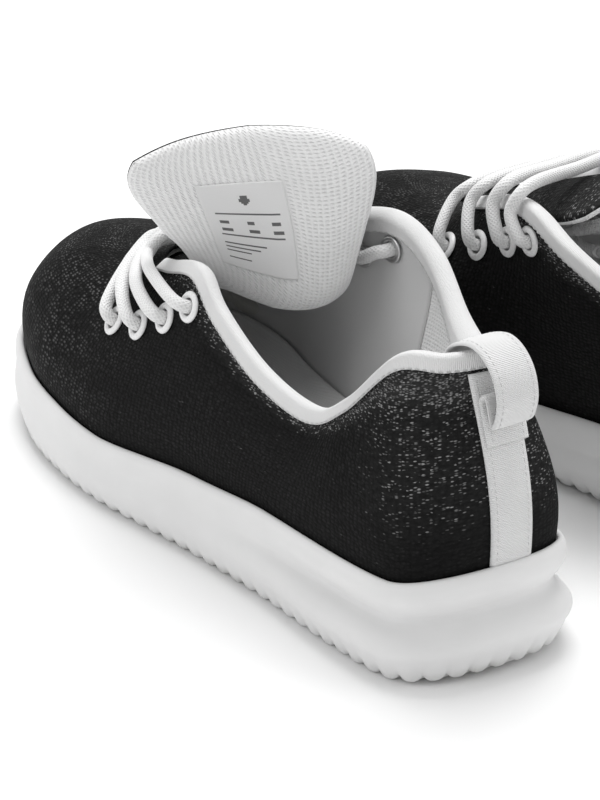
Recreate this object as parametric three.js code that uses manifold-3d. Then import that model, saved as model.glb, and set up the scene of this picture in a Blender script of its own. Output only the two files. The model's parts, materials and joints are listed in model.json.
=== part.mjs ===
// A pair of low lace-up cheer shoes, in millimetres, +Z up, toes towards +Y.
// Each shoe is drawn in its own frame: the origin is on the floor under the middle of the sole,
// +X is the inner (medial) side. The second shoe is the mirror image of the first.
import * as THREE from 'three';
import { mergeVertices } from 'three/addons/utils/BufferGeometryUtils.js';
import Module from 'manifold-3d';

const wasm = await Module();
wasm.setup();

// ---- driving dimensions -------------------------------------------------------------------
const SOLE_LENGTH = 285;
const BALL_WIDTH = 100;
const COLLAR_HEIGHT = 107.5;
const GAP = 0.3;
const UPPER_THICK = 1.4;
const STIFFENER_THICK = 0.8;
const LINING_THICK = 0.8;
const COLLAR_PADDING = 5;
const BED_DEPTH = 5;
const TREAD_PITCH = 12;
const TREAD_WIDTH = 3;
const TREAD_DEPTH = 2.2;
const TOE_SPRING = 7;
const LACE_DIAMETER = 4.6;
const EYELET_HOLE = LACE_DIAMETER / 2 + 0.7;
const EYELET_FLANGE = EYELET_HOLE + 2.5;
const EYELET_WALL = 0.5;
const FLANGE_LIFT = 0.6;
const STRAP_WIDTH = 16;
const STRAP_THICK = 1.2;
const STRIP_GAP = 0.5;
const TAPE_GAP = 0.55;
const TONGUE_PADDING = 3.6;
const PAIR_SPACING = BALL_WIDTH + 19;
const PAIR_STAGGER = -16.5;
const PAIR_TURN = THREE.MathUtils.degToRad(7);

// The ribs below are measured on a last of this size and stretched to the sizes above.
const LAST = { length: 285, width: 100, height: 107.5 };
const STRETCH = new THREE.Vector3(
  BALL_WIDTH / LAST.width, SOLE_LENGTH / LAST.length, COLLAR_HEIGHT / LAST.height);

// Depths below the outer face of the upper, from the outside in.
const STIFFENER_AT = UPPER_THICK + GAP;
const LINING_AT = STIFFENER_AT + STIFFENER_THICK + GAP;
const LINING_END = LINING_AT + LINING_THICK;
const EYELET_PLACES = {
  lateral: [[8.5, 0.61], [7.84, 0.645], [7.3, 0.71], [6.8, 0.82]],
  medial: [[15.75, 0.715], [16.45, 0.745], [17.15, 0.785], [17.9, 0.84]],
};

// One rib per row, starting at the middle of the heel and going round by the outer side:
// foot [x, y] on the feather line, top [x, y, z] on the opening, rise [up, out] at the foot,
// crown [x, y, z] from the top to the last control point of the rib.
const RIBS = [
  [[0, -134], [0, -119.5, 107.5], [26, 2], [0, -9, -26]],
  [[-23, -130.5], [-13, -115, 107], [26, 3], [-4, -7, -26]],
  [[-35, -119], [-22, -102, 104.5], [24, 3], [-7, -3, -24]],
  [[-38.5, -90], [-30, -87, 86], [18, 1], [-6, 0, -17]],
  [[-39, -55], [-32.4, -70, 75.5], [14, 1], [-5, 0, -13]],
  [[-40.5, -30], [-34, -42, 79], [15, 2], [-6, 0, -14]],
  [[-42.5, -8], [-33, -15, 90], [18, 3], [-8, 1, -16]],
  [[-45.5, 14], [-30, 2, 98.5], [20, 3], [-9, 3, -20]],
  [[-48.6, 40], [-25, 26, 90], [20, 3], [-13, 4, -16]],
  [[-48, 66], [-17, 46, 82], [18, 4], [-17, 8, -10]],
  [[-42.5, 95], [-9, 57, 79], [22, 5], [-19, 26, -5]],
  [[-28, 123], [-4.5, 60.8, 78.5], [26, 6], [-14, 42, -4]],
  [[2, 137], [0, 62, 78.5], [30, 6], [0, 50, -4]],
  [[31, 121], [4.5, 60.8, 78.5], [26, 6], [14, 40, -4]],
  [[44, 95], [9, 57, 79], [22, 5], [19, 24, -5]],
  [[48, 66], [18, 46, 83], [18, 4], [17, 8, -11]],
  [[44, 40], [28, 26, 93], [20, 3], [12, 4, -17]],
  [[37.5, 12], [37, 3, 103], [20, 2], [5, 3, -22]],
  [[33.5, -10], [43, -14, 105], [20, 1], [2, 1, -22]],
  [[31.5, -32], [43, -34, 98.5], [20, 1], [1, 0, -20]],
  [[31, -58], [36, -59, 87], [16, 1], [2, 0, -15]],
  [[31.5, -92], [29, -84, 84], [18, 1], [5, 0, -17]],
  [[27.5, -120], [20, -102, 97], [24, 3], [7, -3, -24]],
  [[18, -131], [12, -115, 104.5], [26, 3], [4, -7, -26]],
];
const RIB_COUNT = RIBS.length;
const GRID_STEP = 0.5;
const GRID_COUNT = RIB_COUNT / GRID_STEP;
const GRID_ROWS = [-1, 0, 0.26, 0.52, 0.76, 1];
const FEET = RIBS.map((rib) => [rib[0][0] * STRETCH.x, rib[0][1] * STRETCH.y]);
const TOPS = RIBS.map((rib) => [
  rib[1][0] * STRETCH.x, rib[1][1] * STRETCH.y, rib[1][2] * STRETCH.z]);
const RISES = RIBS.map((rib) => [rib[2][0] * STRETCH.z, rib[2][1]]);
const CROWNS = RIBS.map((rib) => [
  rib[3][0] * STRETCH.x, rib[3][1] * STRETCH.y, rib[3][2] * STRETCH.z]);

// Height of the sole's rim along the shoe, as [y, z] on the last.
const RIM = [[-137, 40.5], [-118, 36], [-90, 35], [-51, 33.5], [-13, 30.5],
  [40, 25.5], [93, 27.5], [125, 31], [140, 33]];

// ---- small helpers ------------------------------------------------------------------------
const clamp = THREE.MathUtils.clamp;
const smooth = (x, from, to) => THREE.MathUtils.smoothstep(x, from, to);

// Value of a periodic spline through rows at place u.
function loopAt(rows, u) {
  const count = rows.length;
  const place = ((u % count) + count) % count;
  const i = Math.floor(place);
  const t = place - i;
  const [a, b, c, d] = [-1, 0, 1, 2].map((k) => rows[(i + k + count) % count]);
  return b.map((_, k) => 0.5 * (2 * b[k] + (c[k] - a[k]) * t
    + (2 * a[k] - 5 * b[k] + 4 * c[k] - d[k]) * t * t
    + (3 * b[k] - a[k] - 3 * c[k] + d[k]) * t * t * t));
}

// Value of an open spline through rows at t from 0 to 1.
function openAt(rows, t) {
  const last = rows.length - 1;
  const place = clamp(t, 0, 1) * last;
  const i = Math.min(Math.floor(place), last - 1);
  const s = place - i;
  const b = rows[i];
  const c = rows[i + 1];
  const a = i > 0 ? rows[i - 1] : b.map((v, k) => 2 * v - c[k]);
  const d = i + 2 <= last ? rows[i + 2] : c.map((v, k) => 2 * v - b[k]);
  return b.map((_, k) => 0.5 * (2 * b[k] + (c[k] - a[k]) * s
    + (2 * a[k] - 5 * b[k] + 4 * c[k] - d[k]) * s * s
    + (3 * b[k] - a[k] - 3 * c[k] + d[k]) * s * s * s));
}

function rimHeight(y) {
  const at = y / STRETCH.y;
  let i = 0;
  while (i < RIM.length - 2 && at > RIM[i + 1][0]) i += 1;
  const t = clamp((at - RIM[i][0]) / (RIM[i + 1][0] - RIM[i][0]), 0, 1);
  return THREE.MathUtils.lerp(RIM[i][1], RIM[i + 1][1], t * t * (3 - 2 * t) * 0.5 + t * 0.5);
}

function soleBottom(y) {
  const toe = smooth(y, 0.26 * SOLE_LENGTH, 0.52 * SOLE_LENGTH);
  const heel = smooth(-y, 0.40 * SOLE_LENGTH, 0.49 * SOLE_LENGTH);
  return TOE_SPRING * toe + 2.5 * heel;
}

// ---- the wrapped surface of the upper -----------------------------------------------------
// u runs round the shoe, one unit per rib; v runs from -1 on the bed, by 0 on the rim, to 1 on
// the opening. A laced shoe closes its throat by the share given.
function makeShell(closing) {
  const tops = TOPS.map(([x, y, z]) => [x * (1 - closing * smooth(y, -50, 0)), y, z]);

  const foot = (u) => {
    const [x, y] = loopAt(FEET, u);
    return new THREE.Vector3(x, y, rimHeight(y));
  };

  const footNormal = (u) => {
    const [ax, ay] = loopAt(FEET, u - 0.01);
    const [bx, by] = loopAt(FEET, u + 0.01);
    return new THREE.Vector3(ay - by, bx - ax, 0).normalize();
  };

  const skin = (u, v) => {
    const f = foot(u);
    if (v <= 0) return f.add(new THREE.Vector3(0, 0, v * BED_DEPTH));
    const [up, out] = loopAt(RISES, u);
    const t = new THREE.Vector3(...loopAt(tops, u));
    const p = f.clone().addScaledVector(footNormal(u), out).add(new THREE.Vector3(0, 0, up));
    const q = t.clone().add(new THREE.Vector3(...loopAt(CROWNS, u)));
    const w = 1 - v;
    return f.multiplyScalar(w * w * w)
      .addScaledVector(p, 3 * w * w * v)
      .addScaledVector(q, 3 * w * v * v)
      .addScaledVector(t, v * v * v);
  };

  const normal = (u, v) => {
    if (v <= 0) return footNormal(u);
    const along = skin(u + 0.02, v).sub(skin(u - 0.02, v));
    const up = skin(u, Math.min(v + 0.01, 1)).sub(skin(u, Math.max(v - 0.01, 0.001)));
    const n = up.cross(along).normalize();
    return n.lerp(footNormal(u), clamp(1 - v / 0.08, 0, 1)).normalize();
  };

  const at = (u, v, depth) => skin(u, v).addScaledVector(normal(u, v), -depth);

  // The same on the flat facets between the shared rows; depth is a number or a function.
  const onFacet = (u, v, depth) => {
    const deep = (row) => at(u, row, typeof depth === 'function' ? depth(u, row) : depth);
    const high = GRID_ROWS.findIndex((row) => row >= v - 1e-6);
    const low = Math.max(high - 1, 0);
    if (high === low) return deep(GRID_ROWS[0]);
    const share = (v - GRID_ROWS[low]) / (GRID_ROWS[high] - GRID_ROWS[low]);
    return deep(GRID_ROWS[low]).lerp(deep(GRID_ROWS[high]), share);
  };
  return { foot, footNormal, skin, normal, at, onFacet };
}

// ---- mesh building ------------------------------------------------------------------------
// A closed mesh from points and triangles, turned so that its faces point out.
function closedMesh(points, triangles) {
  let volume = 0;
  const cross = new THREE.Vector3();
  for (const [a, b, c] of triangles) {
    volume += points[a].dot(cross.crossVectors(points[b], points[c]));
  }
  const faces = volume < 0 ? triangles.map(([a, b, c]) => [a, c, b]) : triangles;
  const geometry = new THREE.BufferGeometry();
  geometry.setAttribute('position', new THREE.Float32BufferAttribute(
    points.flatMap((p) => [p.x, p.y, p.z]), 3));
  geometry.setIndex(faces.flat());
  return geometry;
}

// A closed sheet between two faces, each given as a function of (i, j) on a grid.
function sheet(columns, rows, front, back, wraps = false) {
  const points = [];
  const width = wraps ? columns : columns + 1;
  for (const face of [front, back]) {
    for (let j = 0; j <= rows; j += 1) {
      for (let i = 0; i < width; i += 1) points.push(face(i / columns, j / rows));
    }
  }
  const half = width * (rows + 1);
  const id = (i, j, side) => side * half + j * width + (i % width);
  const triangles = [];
  const quad = (a, b, c, d) => triangles.push([a, b, c], [a, c, d]);
  for (let i = 0; i < columns; i += 1) {
    for (let j = 0; j < rows; j += 1) {
      quad(id(i, j, 0), id(i + 1, j, 0), id(i + 1, j + 1, 0), id(i, j + 1, 0));
      quad(id(i, j, 1), id(i, j + 1, 1), id(i + 1, j + 1, 1), id(i + 1, j, 1));
    }
    quad(id(i, 0, 0), id(i, 0, 1), id(i + 1, 0, 1), id(i + 1, 0, 0));
    quad(id(i, rows, 0), id(i + 1, rows, 0), id(i + 1, rows, 1), id(i, rows, 1));
  }
  if (!wraps) {
    for (let j = 0; j < rows; j += 1) {
      quad(id(0, j, 0), id(0, j + 1, 0), id(0, j + 1, 1), id(0, j, 1));
      quad(id(columns, j, 0), id(columns, j, 1), id(columns, j + 1, 1), id(columns, j + 1, 0));
    }
  }
  return closedMesh(points, triangles);
}

// A closed bar: rings of equal size joined in order, ends capped, or joined up when it wraps.
function bar(rings, wraps = false) {
  const size = rings[0].length;
  const points = rings.flat();
  const triangles = [];
  const count = wraps ? rings.length : rings.length - 1;
  for (let i = 0; i < count; i += 1) {
    const a = i * size;
    const b = ((i + 1) % rings.length) * size;
    for (let k = 0; k < size; k += 1) {
      const n = (k + 1) % size;
      triangles.push([a + k, a + n, b + n], [a + k, b + n, b + k]);
    }
  }
  if (!wraps) {
    const walls = triangles.length;
    for (const first of [0, (rings.length - 1) * size]) {
      const outline = flatten(points.slice(first, first + size));
      for (const face of THREE.ShapeUtils.triangulateShape(outline, [])) {
        triangles.push(face.map((k) => first + k));
      }
    }
    fixCaps(triangles, walls);
  }
  return closedMesh(points, triangles);
}

// A ring laid flat in its own plane, for cutting its cap into triangles.
function flatten(ring) {
  const centre = ring.reduce((sum, p) => sum.add(p), new THREE.Vector3())
    .divideScalar(ring.length);
  const n = new THREE.Vector3();
  ring.forEach((p, i) => {
    const q = ring[(i + 1) % ring.length];
    n.add(p.clone().sub(centre).cross(q.clone().sub(centre)));
  });
  n.normalize();
  const x = ring[0].clone().sub(centre).projectOnPlane(n).normalize();
  const y = new THREE.Vector3().crossVectors(n, x);
  return ring.map((p) => {
    const d = p.clone().sub(centre);
    return new THREE.Vector2(d.dot(x), d.dot(y));
  });
}

// Turns each cap triangle so that it runs against the wall triangle that shares its edge.
function fixCaps(triangles, walls) {
  const used = new Set();
  for (let i = 0; i < walls; i += 1) {
    const [a, b, c] = triangles[i];
    used.add(`${a},${b}`).add(`${b},${c}`).add(`${c},${a}`);
  }
  const edges = ([a, b, c]) => [`${a},${b}`, `${b},${c}`, `${c},${a}`];
  let open = [];
  for (let i = walls; i < triangles.length; i += 1) open.push(i);
  while (open.length) {
    const left = [];
    for (const i of open) {
      const back = [triangles[i][0], triangles[i][2], triangles[i][1]];
      const here = edges(triangles[i]);
      const there = edges(back);
      const clash = here.some((e) => used.has(e));
      const touch = there.some((e) => used.has(e));
      if (clash) triangles[i] = back;
      if (clash || touch) edges(triangles[i]).forEach((e) => used.add(e));
      else left.push(i);
    }
    if (left.length === open.length) break;
    open = left;
  }
}

// Triangles across a loop of points, each rung from the outer side to the inner side.
function lid(count) {
  const faces = [];
  for (let i = 0; i < count / 2; i += 1) {
    const far = (count - i) % count;
    if (i + 1 < count - i - 1) faces.push([i, i + 1, count - i - 1]);
    if (far !== i && count - i - 1 > i) faces.push([i, count - i - 1, far]);
  }
  return faces.filter((face) => new Set(face).size === 3);
}

// Places round the shoe from one end to the other, on the shared grid in between.
function gridBetween(from, to) {
  const places = [from];
  for (let u = Math.floor(from / GRID_STEP + 1) * GRID_STEP; u < to - 0.01; u += GRID_STEP) {
    if (u - from > 0.01) places.push(u);
  }
  places.push(to);
  return places;
}

// A copy with only its positions, and one point where several meet.
function welded(geometry) {
  const bare = geometry.clone();
  bare.deleteAttribute('normal');
  bare.deleteAttribute('uv');
  return mergeVertices(bare, 1e-4);
}

function toSolid(geometry) {
  const merged = welded(geometry);
  return new wasm.Manifold(new wasm.Mesh({
    numProp: 3,
    vertProperties: Float32Array.from(merged.attributes.position.array),
    triVerts: Uint32Array.from(merged.index.array),
  }));
}

function cut(geometry, cutters) {
  let solid = toSolid(geometry);
  for (const cutter of cutters) solid = solid.subtract(cutter);
  const mesh = solid.getMesh();
  const result = new THREE.BufferGeometry();
  result.setAttribute('position', new THREE.BufferAttribute(
    Float32Array.from(mesh.vertProperties), 3));
  result.setIndex(Array.from(mesh.triVerts));
  return result;
}

const paint = (color, roughness, metalness = 0) => new THREE.MeshStandardMaterial({
  color, roughness, metalness });
const KNIT = paint(0x18181a, 0.85);
const FOAM_WHITE = paint(0xf2f2f2, 0.55);
const CLOTH_WHITE = paint(0xeeeeee, 0.9);
const MESH_WHITE = paint(0xe6e6e6, 0.95);
const LINING_GREY = paint(0xcfcfcf, 0.9);
const BOARD = paint(0xc9c4b8, 0.9);
const STEEL = paint(0xb8bbc0, 0.3, 1);
const LABEL = paint(0xf4f4f4, 0.6);
const CORD_WHITE = paint(0xf4f4f4, 0.85);
const TIP = paint(0xf0f0f0, 0.3);

// ---- one shoe -----------------------------------------------------------------------------
// raised: the tongue stands up and forward with the laces bunched in front of it.
function makeShoe({ closing, raised }) {
  const shell = makeShell(closing);
  const parts = {};
  const add = (name, geometry, material) => { parts[name] = { geometry, material }; };

  // A layer of the upper between two depths. Its corners sit on the grid that all layers share,
  // so that the flat facets of neighbouring layers stay parallel.
  const layer = (u0, u1, vs, outer, inner, wraps = false) => {
    const us = gridBetween(u0, u1);
    const face = (depth) => (i, j) => {
      const u = us[Math.round(i * (us.length - 1))];
      const v = vs[Math.round(j * (vs.length - 1))];
      return shell.onFacet(u, v, depth);
    };
    return sheet(us.length - 1, vs.length - 1, face(outer), face(inner), wraps);
  };

  // Collar padding: thickness of the foam roll, and the lining's depth over it.
  const roll = (u, v) => {
    const ring = 1 - smooth(Math.abs(u), 3.2, 4.5);
    const x = clamp((v - 0.55) / 0.5, 0, 1);
    return STIFFENER_THICK + COLLAR_PADDING * ring * Math.sin(Math.PI * x ** 1.3);
  };
  const collarLining = (u, v) => STIFFENER_AT + roll(u, v) + GAP;

  // ---- sole unit: rings round the shoe, each a closed section from bed to tread ----
  const soleRing = (u) => {
    const f = shell.foot(u);
    const n = shell.footNormal(u);
    const floor = soleBottom(f.y);
    const tall = f.z - floor;
    const back = smooth(-f.y, 0.1 * SOLE_LENGTH, 0.36 * SOLE_LENGTH);
    const arch = smooth(f.x, 10, 25) * smooth(f.y, -70, -35) * (1 - smooth(f.y, 5, 35));
    const place = (out, height) => f.clone().addScaledVector(n, out).setZ(floor + height);
    return {
      bed: place(GAP, tall - BED_DEPTH - GAP),
      lip: place(GAP, tall - 0.2),
      wall: [
        place(2.6, tall),
        place(3.4, tall * 0.9),
        place(3 - 0.4 * back, tall * 0.72),
        place(4.2 - 2 * arch + 1.4 * back, tall * 0.42),
        place(2.6 - 5 * arch, 5.5),
        place(-1 - 5 * arch, 0),
      ],
    };
  };
  const soleSteps = GRID_COUNT;
  const soleRings = Array.from({ length: soleSteps }, (_, i) => {
    const ring = soleRing((i * RIB_COUNT) / soleSteps);
    return [ring.bed, ring.lip, ...ring.wall];
  });
  const solePoints = soleRings.flat();
  const soleTriangles = [];
  const levels = soleRings[0].length;
  for (let i = 0; i < soleSteps; i += 1) {
    const a = i * levels;
    const b = ((i + 1) % soleSteps) * levels;
    for (let k = 0; k + 1 < levels; k += 1) {
      soleTriangles.push([a + k, b + k, b + k + 1], [a + k, b + k + 1, a + k + 1]);
    }
  }
  const soleWalls = soleTriangles.length;
  for (const level of [0, levels - 1]) {
    for (const face of lid(soleSteps)) soleTriangles.push(face.map((k) => k * levels + level));
  }
  fixCaps(soleTriangles, soleWalls);
  const grooves = [];
  const grooveCount = Math.floor((0.9 * SOLE_LENGTH) / TREAD_PITCH);
  for (let k = 0; k < grooveCount; k += 1) {
    const y = (k - (grooveCount - 1) / 2) * TREAD_PITCH;
    const depth = TREAD_DEPTH + soleBottom(y);
    const section = new THREE.Shape([
      new THREE.Vector2(-TREAD_WIDTH / 2, -1), new THREE.Vector2(TREAD_WIDTH / 2, -1),
      new THREE.Vector2(0.4, depth), new THREE.Vector2(-0.4, depth)]);
    const groove = new THREE.ExtrudeGeometry(section, {
      depth: 2 * BALL_WIDTH, bevelEnabled: false, steps: 1 });
    groove.rotateX(Math.PI / 2).rotateZ(Math.PI / 2).translate(-BALL_WIDTH, y, 0);
    grooves.push(toSolid(groove));
  }
  add('sole', cut(closedMesh(solePoints, soleTriangles), grooves), FOAM_WHITE);

  // ---- plates on the bed: the board that the upper is lasted to, and the insole ----
  const plate = (inset, bottom, thick, curl) => {
    const steps = GRID_COUNT;
    const edge = (rise, more = 0) => Array.from({ length: steps }, (_, i) => {
      const u = (i * RIB_COUNT) / steps;
      const p = shell.foot(u).addScaledVector(shell.footNormal(u), -inset - more);
      return p.setZ(rimHeight(p.y) - BED_DEPTH + rise);
    });
    const low = edge(bottom);
    const high = edge(bottom + thick + curl, curl * 0.4);
    const middle = edge(bottom + thick, 8);
    const loops = curl > 0 ? [low, high, middle] : [low, high];
    const points = loops.flat();
    const triangles = [];
    for (let k = 0; k + 1 < loops.length; k += 1) {
      for (let i = 0; i < steps; i += 1) {
        const a = k * steps + i;
        const b = k * steps + ((i + 1) % steps);
        triangles.push([a, b, b + steps], [a, b + steps, a + steps]);
      }
    }
    const walls = triangles.length;
    for (const k of [0, loops.length - 1]) {
      for (const face of lid(steps)) triangles.push(face.map((i) => i + k * steps));
    }
    fixCaps(triangles, walls);
    return closedMesh(points, triangles);
  };
  const boardThick = 1.2;
  add('strobel_board', plate(UPPER_THICK + GAP, 0, boardThick, 0), BOARD);
  add('insole', plate(LINING_END + GAP, boardThick + GAP, 4.4, 3.2), LINING_GREY);
  const liningFoot = -1 + (boardThick + GAP) / BED_DEPTH;

  // ---- eyelet places and the holes through the layers ----
  const eyelets = [];
  for (const side of ['lateral', 'medial']) {
    EYELET_PLACES[side].forEach(([u, v], k) => {
      const point = shell.skin(u, v);
      const out = shell.normal(u, v);
      eyelets.push({ name: `eyelet_${side}_${k + 1}`, side, row: k, point, out });
    });
  }
  const turnTo = (out) => new THREE.Quaternion().setFromUnitVectors(
    new THREE.Vector3(0, 1, 0), out);
  const holes = eyelets.map(({ point, out }) => {
    const drill = new THREE.CylinderGeometry(
      EYELET_HOLE + EYELET_WALL + GAP, EYELET_HOLE + EYELET_WALL + GAP, 14, 6);
    drill.applyQuaternion(turnTo(out));
    const at = point.clone().addScaledVector(out, -2);
    return toSolid(drill.translate(at.x, at.y, at.z));
  });

  // ---- layers of the upper ----
  const wholeUpper = layer(0, RIB_COUNT, GRID_ROWS, 0, UPPER_THICK, true);
  add('upper', cut(wholeUpper, holes), KNIT);
  const stiffener = (u0, u1, vs) => layer(u0, u1, vs, STIFFENER_AT, STIFFENER_AT + STIFFENER_THICK);
  add('heel_counter', stiffener(-3.5, 3.5, [-0.5, 0, 0.26, 0.52]), BOARD);
  add('toe_puff', stiffener(9.5, 14.5, [-0.5, 0, 0.26, 0.52]), BOARD);
  add('facing_lateral', cut(stiffener(6.5, 9, [0.54, 0.76, 0.98]), holes), CLOTH_WHITE);
  add('facing_medial', cut(stiffener(15, 18.5, [0.54, 0.76, 0.98]), holes), CLOTH_WHITE);
  const liningRows = [liningFoot, 0, 0.26, 0.52, 0.76, 0.98];
  add('vamp_lining', cut(layer(5, 19, liningRows, LINING_AT, LINING_END), holes), LINING_GREY);
  add('collar_foam', layer(-4.5, 4.5, [0.56, 0.76, 0.97],
    STIFFENER_AT, (u, v) => STIFFENER_AT + roll(u, v)), MESH_WHITE);
  add('collar_lining', layer(-4.9, 4.9, liningRows,
    collarLining, (u, v) => collarLining(u, v) + LINING_THICK), MESH_WHITE);

  // ---- binding: a folded tape over the top edge, from throat to throat ----
  const tapeThick = 0.9;
  const tapeLeg = 4.2;
  const tapeEdge = (u) => {
    const n = shell.normal(u, 0.98);
    const inCollar = Math.abs(u) < 4.95;
    const lining = (at, v) => TAPE_GAP
      + (inCollar ? collarLining(at, v) + LINING_THICK : LINING_END);
    const outer = shell.onFacet(u, 1, -TAPE_GAP);
    const outerDown = shell.onFacet(u, 0.76, -TAPE_GAP).sub(outer).normalize();
    const inner = shell.onFacet(u, 0.98, lining);
    const innerDown = shell.onFacet(u, 0.76, lining).sub(inner).normalize();
    return { n, outer, outerDown, inner, innerDown };
  };
  const tapeRing = (u) => {
    const { n, outer, outerDown, inner, innerDown } = tapeEdge(u);
    const outside = (down, off) => outer.clone().addScaledVector(outerDown, down)
      .addScaledVector(n, off);
    const within = (down, off) => inner.clone().addScaledVector(innerDown, down)
      .addScaledVector(n, -off);
    return [
      outside(tapeLeg, 0), outside(-0.4, 0), within(-1.4, 0), within(tapeLeg, 0),
      within(tapeLeg, tapeThick), within(-2.3, tapeThick * 0.6),
      outside(-1.5, tapeThick * 0.6), outside(tapeLeg, tapeThick),
    ];
  };
  add('collar_binding', bar(gridBetween(-8.5, 8.5).map(tapeRing)), CLOTH_WHITE);

  // ---- eyelets: a flanged barrel, wide flange outside, small flange inside ----
  for (const { name, point, out } of eyelets) {
    const inner = -(LINING_END + 1.2);
    const barrel = EYELET_HOLE + EYELET_WALL;
    const profile = [
      [EYELET_HOLE, inner - 0.6], [barrel + 1.2, inner - 0.6], [barrel + 1.2, inner],
      [barrel, inner], [barrel, FLANGE_LIFT], [EYELET_FLANGE, FLANGE_LIFT],
      [EYELET_FLANGE - 0.6, FLANGE_LIFT + 0.9], [EYELET_HOLE, FLANGE_LIFT + 0.9],
      [EYELET_HOLE, inner - 0.6],
    ].map(([r, z]) => new THREE.Vector2(r, z));
    const ring = new THREE.LatheGeometry(profile, 6);
    ring.applyQuaternion(turnTo(out)).translate(point.x, point.y, point.z);
    add(name, ring, STEEL);
  }

  // ---- heel strip: a flat tape up the back seam; its edges keep an even width ----
  const findU = (x, v) => {
    let u = x / -20;
    for (let k = 0; k < 12; k += 1) {
      const here = shell.skin(u, v).x;
      const slope = (shell.skin(u + 0.01, v).x - here) / 0.01;
      u += clamp((x - here) / slope, -0.3, 0.3);
    }
    return u;
  };
  const stripFace = (depth) => (i, j) => {
    const v = THREE.MathUtils.lerp(0.03, 0.9, j);
    return shell.at(findU((i - 0.5) * STRAP_WIDTH, v), v, depth);
  };
  add('heel_strip', sheet(2, 6, stripFace(-STRIP_GAP - STRAP_THICK), stripFace(-STRIP_GAP)),
    CLOTH_WHITE);

  // ---- pull tab: a strap that lies on the strip, stands off in a loop and tucks inside ----
  const tabOff = STRIP_GAP + GAP + STRAP_THICK * 1.5;
  const heel = (v) => shell.at(0, v, -tabOff);
  const rear = tapeEdge(0);
  const cupSag = 3.4;
  const tuck = (down) => rear.inner.clone().addScaledVector(rear.innerDown, down)
    .addScaledVector(rear.n, -(tapeThick + GAP + STRAP_THICK / 2 + cupSag));
  const over = rear.outer;
  const tabLine = [
    heel(0.6), heel(0.68), heel(0.76), heel(0.82),
    heel(0.86).add(new THREE.Vector3(0, -3, -0.5)),
    over.clone().add(new THREE.Vector3(0, -13, -19.5)),
    over.clone().add(new THREE.Vector3(0, -16, -11.5)),
    over.clone().add(new THREE.Vector3(0, -13.5, -2)),
    over.clone().add(new THREE.Vector3(0, -7, 3.6)),
    over.clone().add(new THREE.Vector3(0, 1, 4.6)),
    tuck(-4.2), tuck(0.5), tuck(6),
  ];
  const tabSteps = 18;
  const tabCurve = new THREE.CatmullRomCurve3(tabLine);
  const tabRing = (t) => {
    const p = tabCurve.getPointAt(t);
    const d = tabCurve.getTangentAt(t);
    const n = new THREE.Vector3(0, -d.z, d.y).multiplyScalar(STRAP_THICK / 2);
    const half = new THREE.Vector3(STRAP_WIDTH / 2, 0, 0);
    return [p.clone().sub(half).sub(n), p.clone().add(half).sub(n),
      p.clone().add(half).add(n), p.clone().sub(half).add(n)];
  };
  add('pull_tab', bar(Array.from({ length: tabSteps + 1 }, (_, i) => tabRing(i / tabSteps))),
    CLOTH_WHITE);

  // ---- tongue: a padded sheet through three columns of points ----
  const columns = raised ? {
    outer: [[-18, 58, 64], [-15, 45, 72], [-11, 35, 82], [-12, 31, 91.5], [-22, 33, 103],
      [-33, 35.5, 115], [-38, 37, 128]],
    middle: [[0, 64, 72.4], [1, 47, 74], [2, 25, 76], [3, 1, 80], [3, 1, 96], [2, 9, 117],
      [0, 18, 138]],
    inner: [[18, 58, 64], [20, 40, 70.5], [21.5, 18, 75.5], [22.5, -4, 81], [27, -9, 97],
      [34, -8, 115], [38, -3, 132]],
  } : {
    outer: [[-18, 58, 64], [-18, 36, 74], [-18, 15, 82], [-18.5, -5, 92], [-23, -28, 103]],
    middle: [[0, 64, 72.4], [0, 42, 81.5], [0, 20, 91.5], [0, -4, 102], [0, -32, 113]],
    inner: [[18, 58, 64], [19, 36, 74], [21, 15, 83], [25, -5, 94], [30, -28, 104]],
  };
  const tongueAt = (a, b) => {
    const left = openAt(columns.outer, b);
    const mid = openAt(columns.middle, b);
    const right = openAt(columns.inner, b);
    const bow = 1 - a * a;
    const l = a < 0 ? -a : 0;
    const r = a > 0 ? a : 0;
    const m = 1 - l - r;
    return new THREE.Vector3(...mid.map((c, k) => {
      const chord = left[k] * l + right[k] * r + c * m;
      const round = left[k] * (a * a - a) / 2 + right[k] * (a * a + a) / 2 + c * bow;
      return 0.25 * chord + 0.75 * round;
    })).multiply(STRETCH);
  };
  const tongueNormal = (a, b) => {
    const e = 0.02;
    const across = tongueAt(a + e, b).sub(tongueAt(a - e, b));
    const along = tongueAt(a, Math.min(b + e, 1)).sub(tongueAt(a, Math.max(b - e, 0)));
    return along.cross(across).normalize();
  };
  const padding = (a, b) => {
    const side = 1 - Math.abs(a) ** 3 * 0.75;
    const end = smooth(b, 0, 0.35) * (1 - 0.6 * smooth(b, 0.88, 1));
    return 0.4 + (TONGUE_PADDING - 0.4) * side * (0.15 + 0.85 * end);
  };
  const corner = (a, b) => a * (1 - 0.16 * smooth(b, 0.86, 1) ** 2);
  const tongueLayer = (from, to, columnCount, rows, spanA = 1, fromB = 0, toB = 1) => {
    const face = (depth) => (i, j) => {
      const b = THREE.MathUtils.lerp(fromB, toB, j);
      const a = corner(THREE.MathUtils.lerp(-spanA, spanA, i), b);
      return tongueAt(a, b).addScaledVector(tongueNormal(a, b), depth(a, b));
    };
    return sheet(columnCount, rows, face(from), face(to));
  };
  const half = (a, b) => padding(a, b) / 2;
  add('tongue_shell', tongueLayer((a, b) => half(a, b) + GAP + 1.1,
    (a, b) => half(a, b) + GAP, 6, 7), KNIT);
  add('tongue_foam', tongueLayer(half, (a, b) => -half(a, b), 6, 7, 1, 0, 1), MESH_WHITE);
  add('tongue_lining', tongueLayer((a, b) => -half(a, b) - GAP,
    (a, b) => -half(a, b) - GAP - 1.1, 6, 7), MESH_WHITE);
  const labelFace = (lift) => (i, j) => {
    const b = THREE.MathUtils.lerp(4 / 7, 6 / 7, j);
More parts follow.
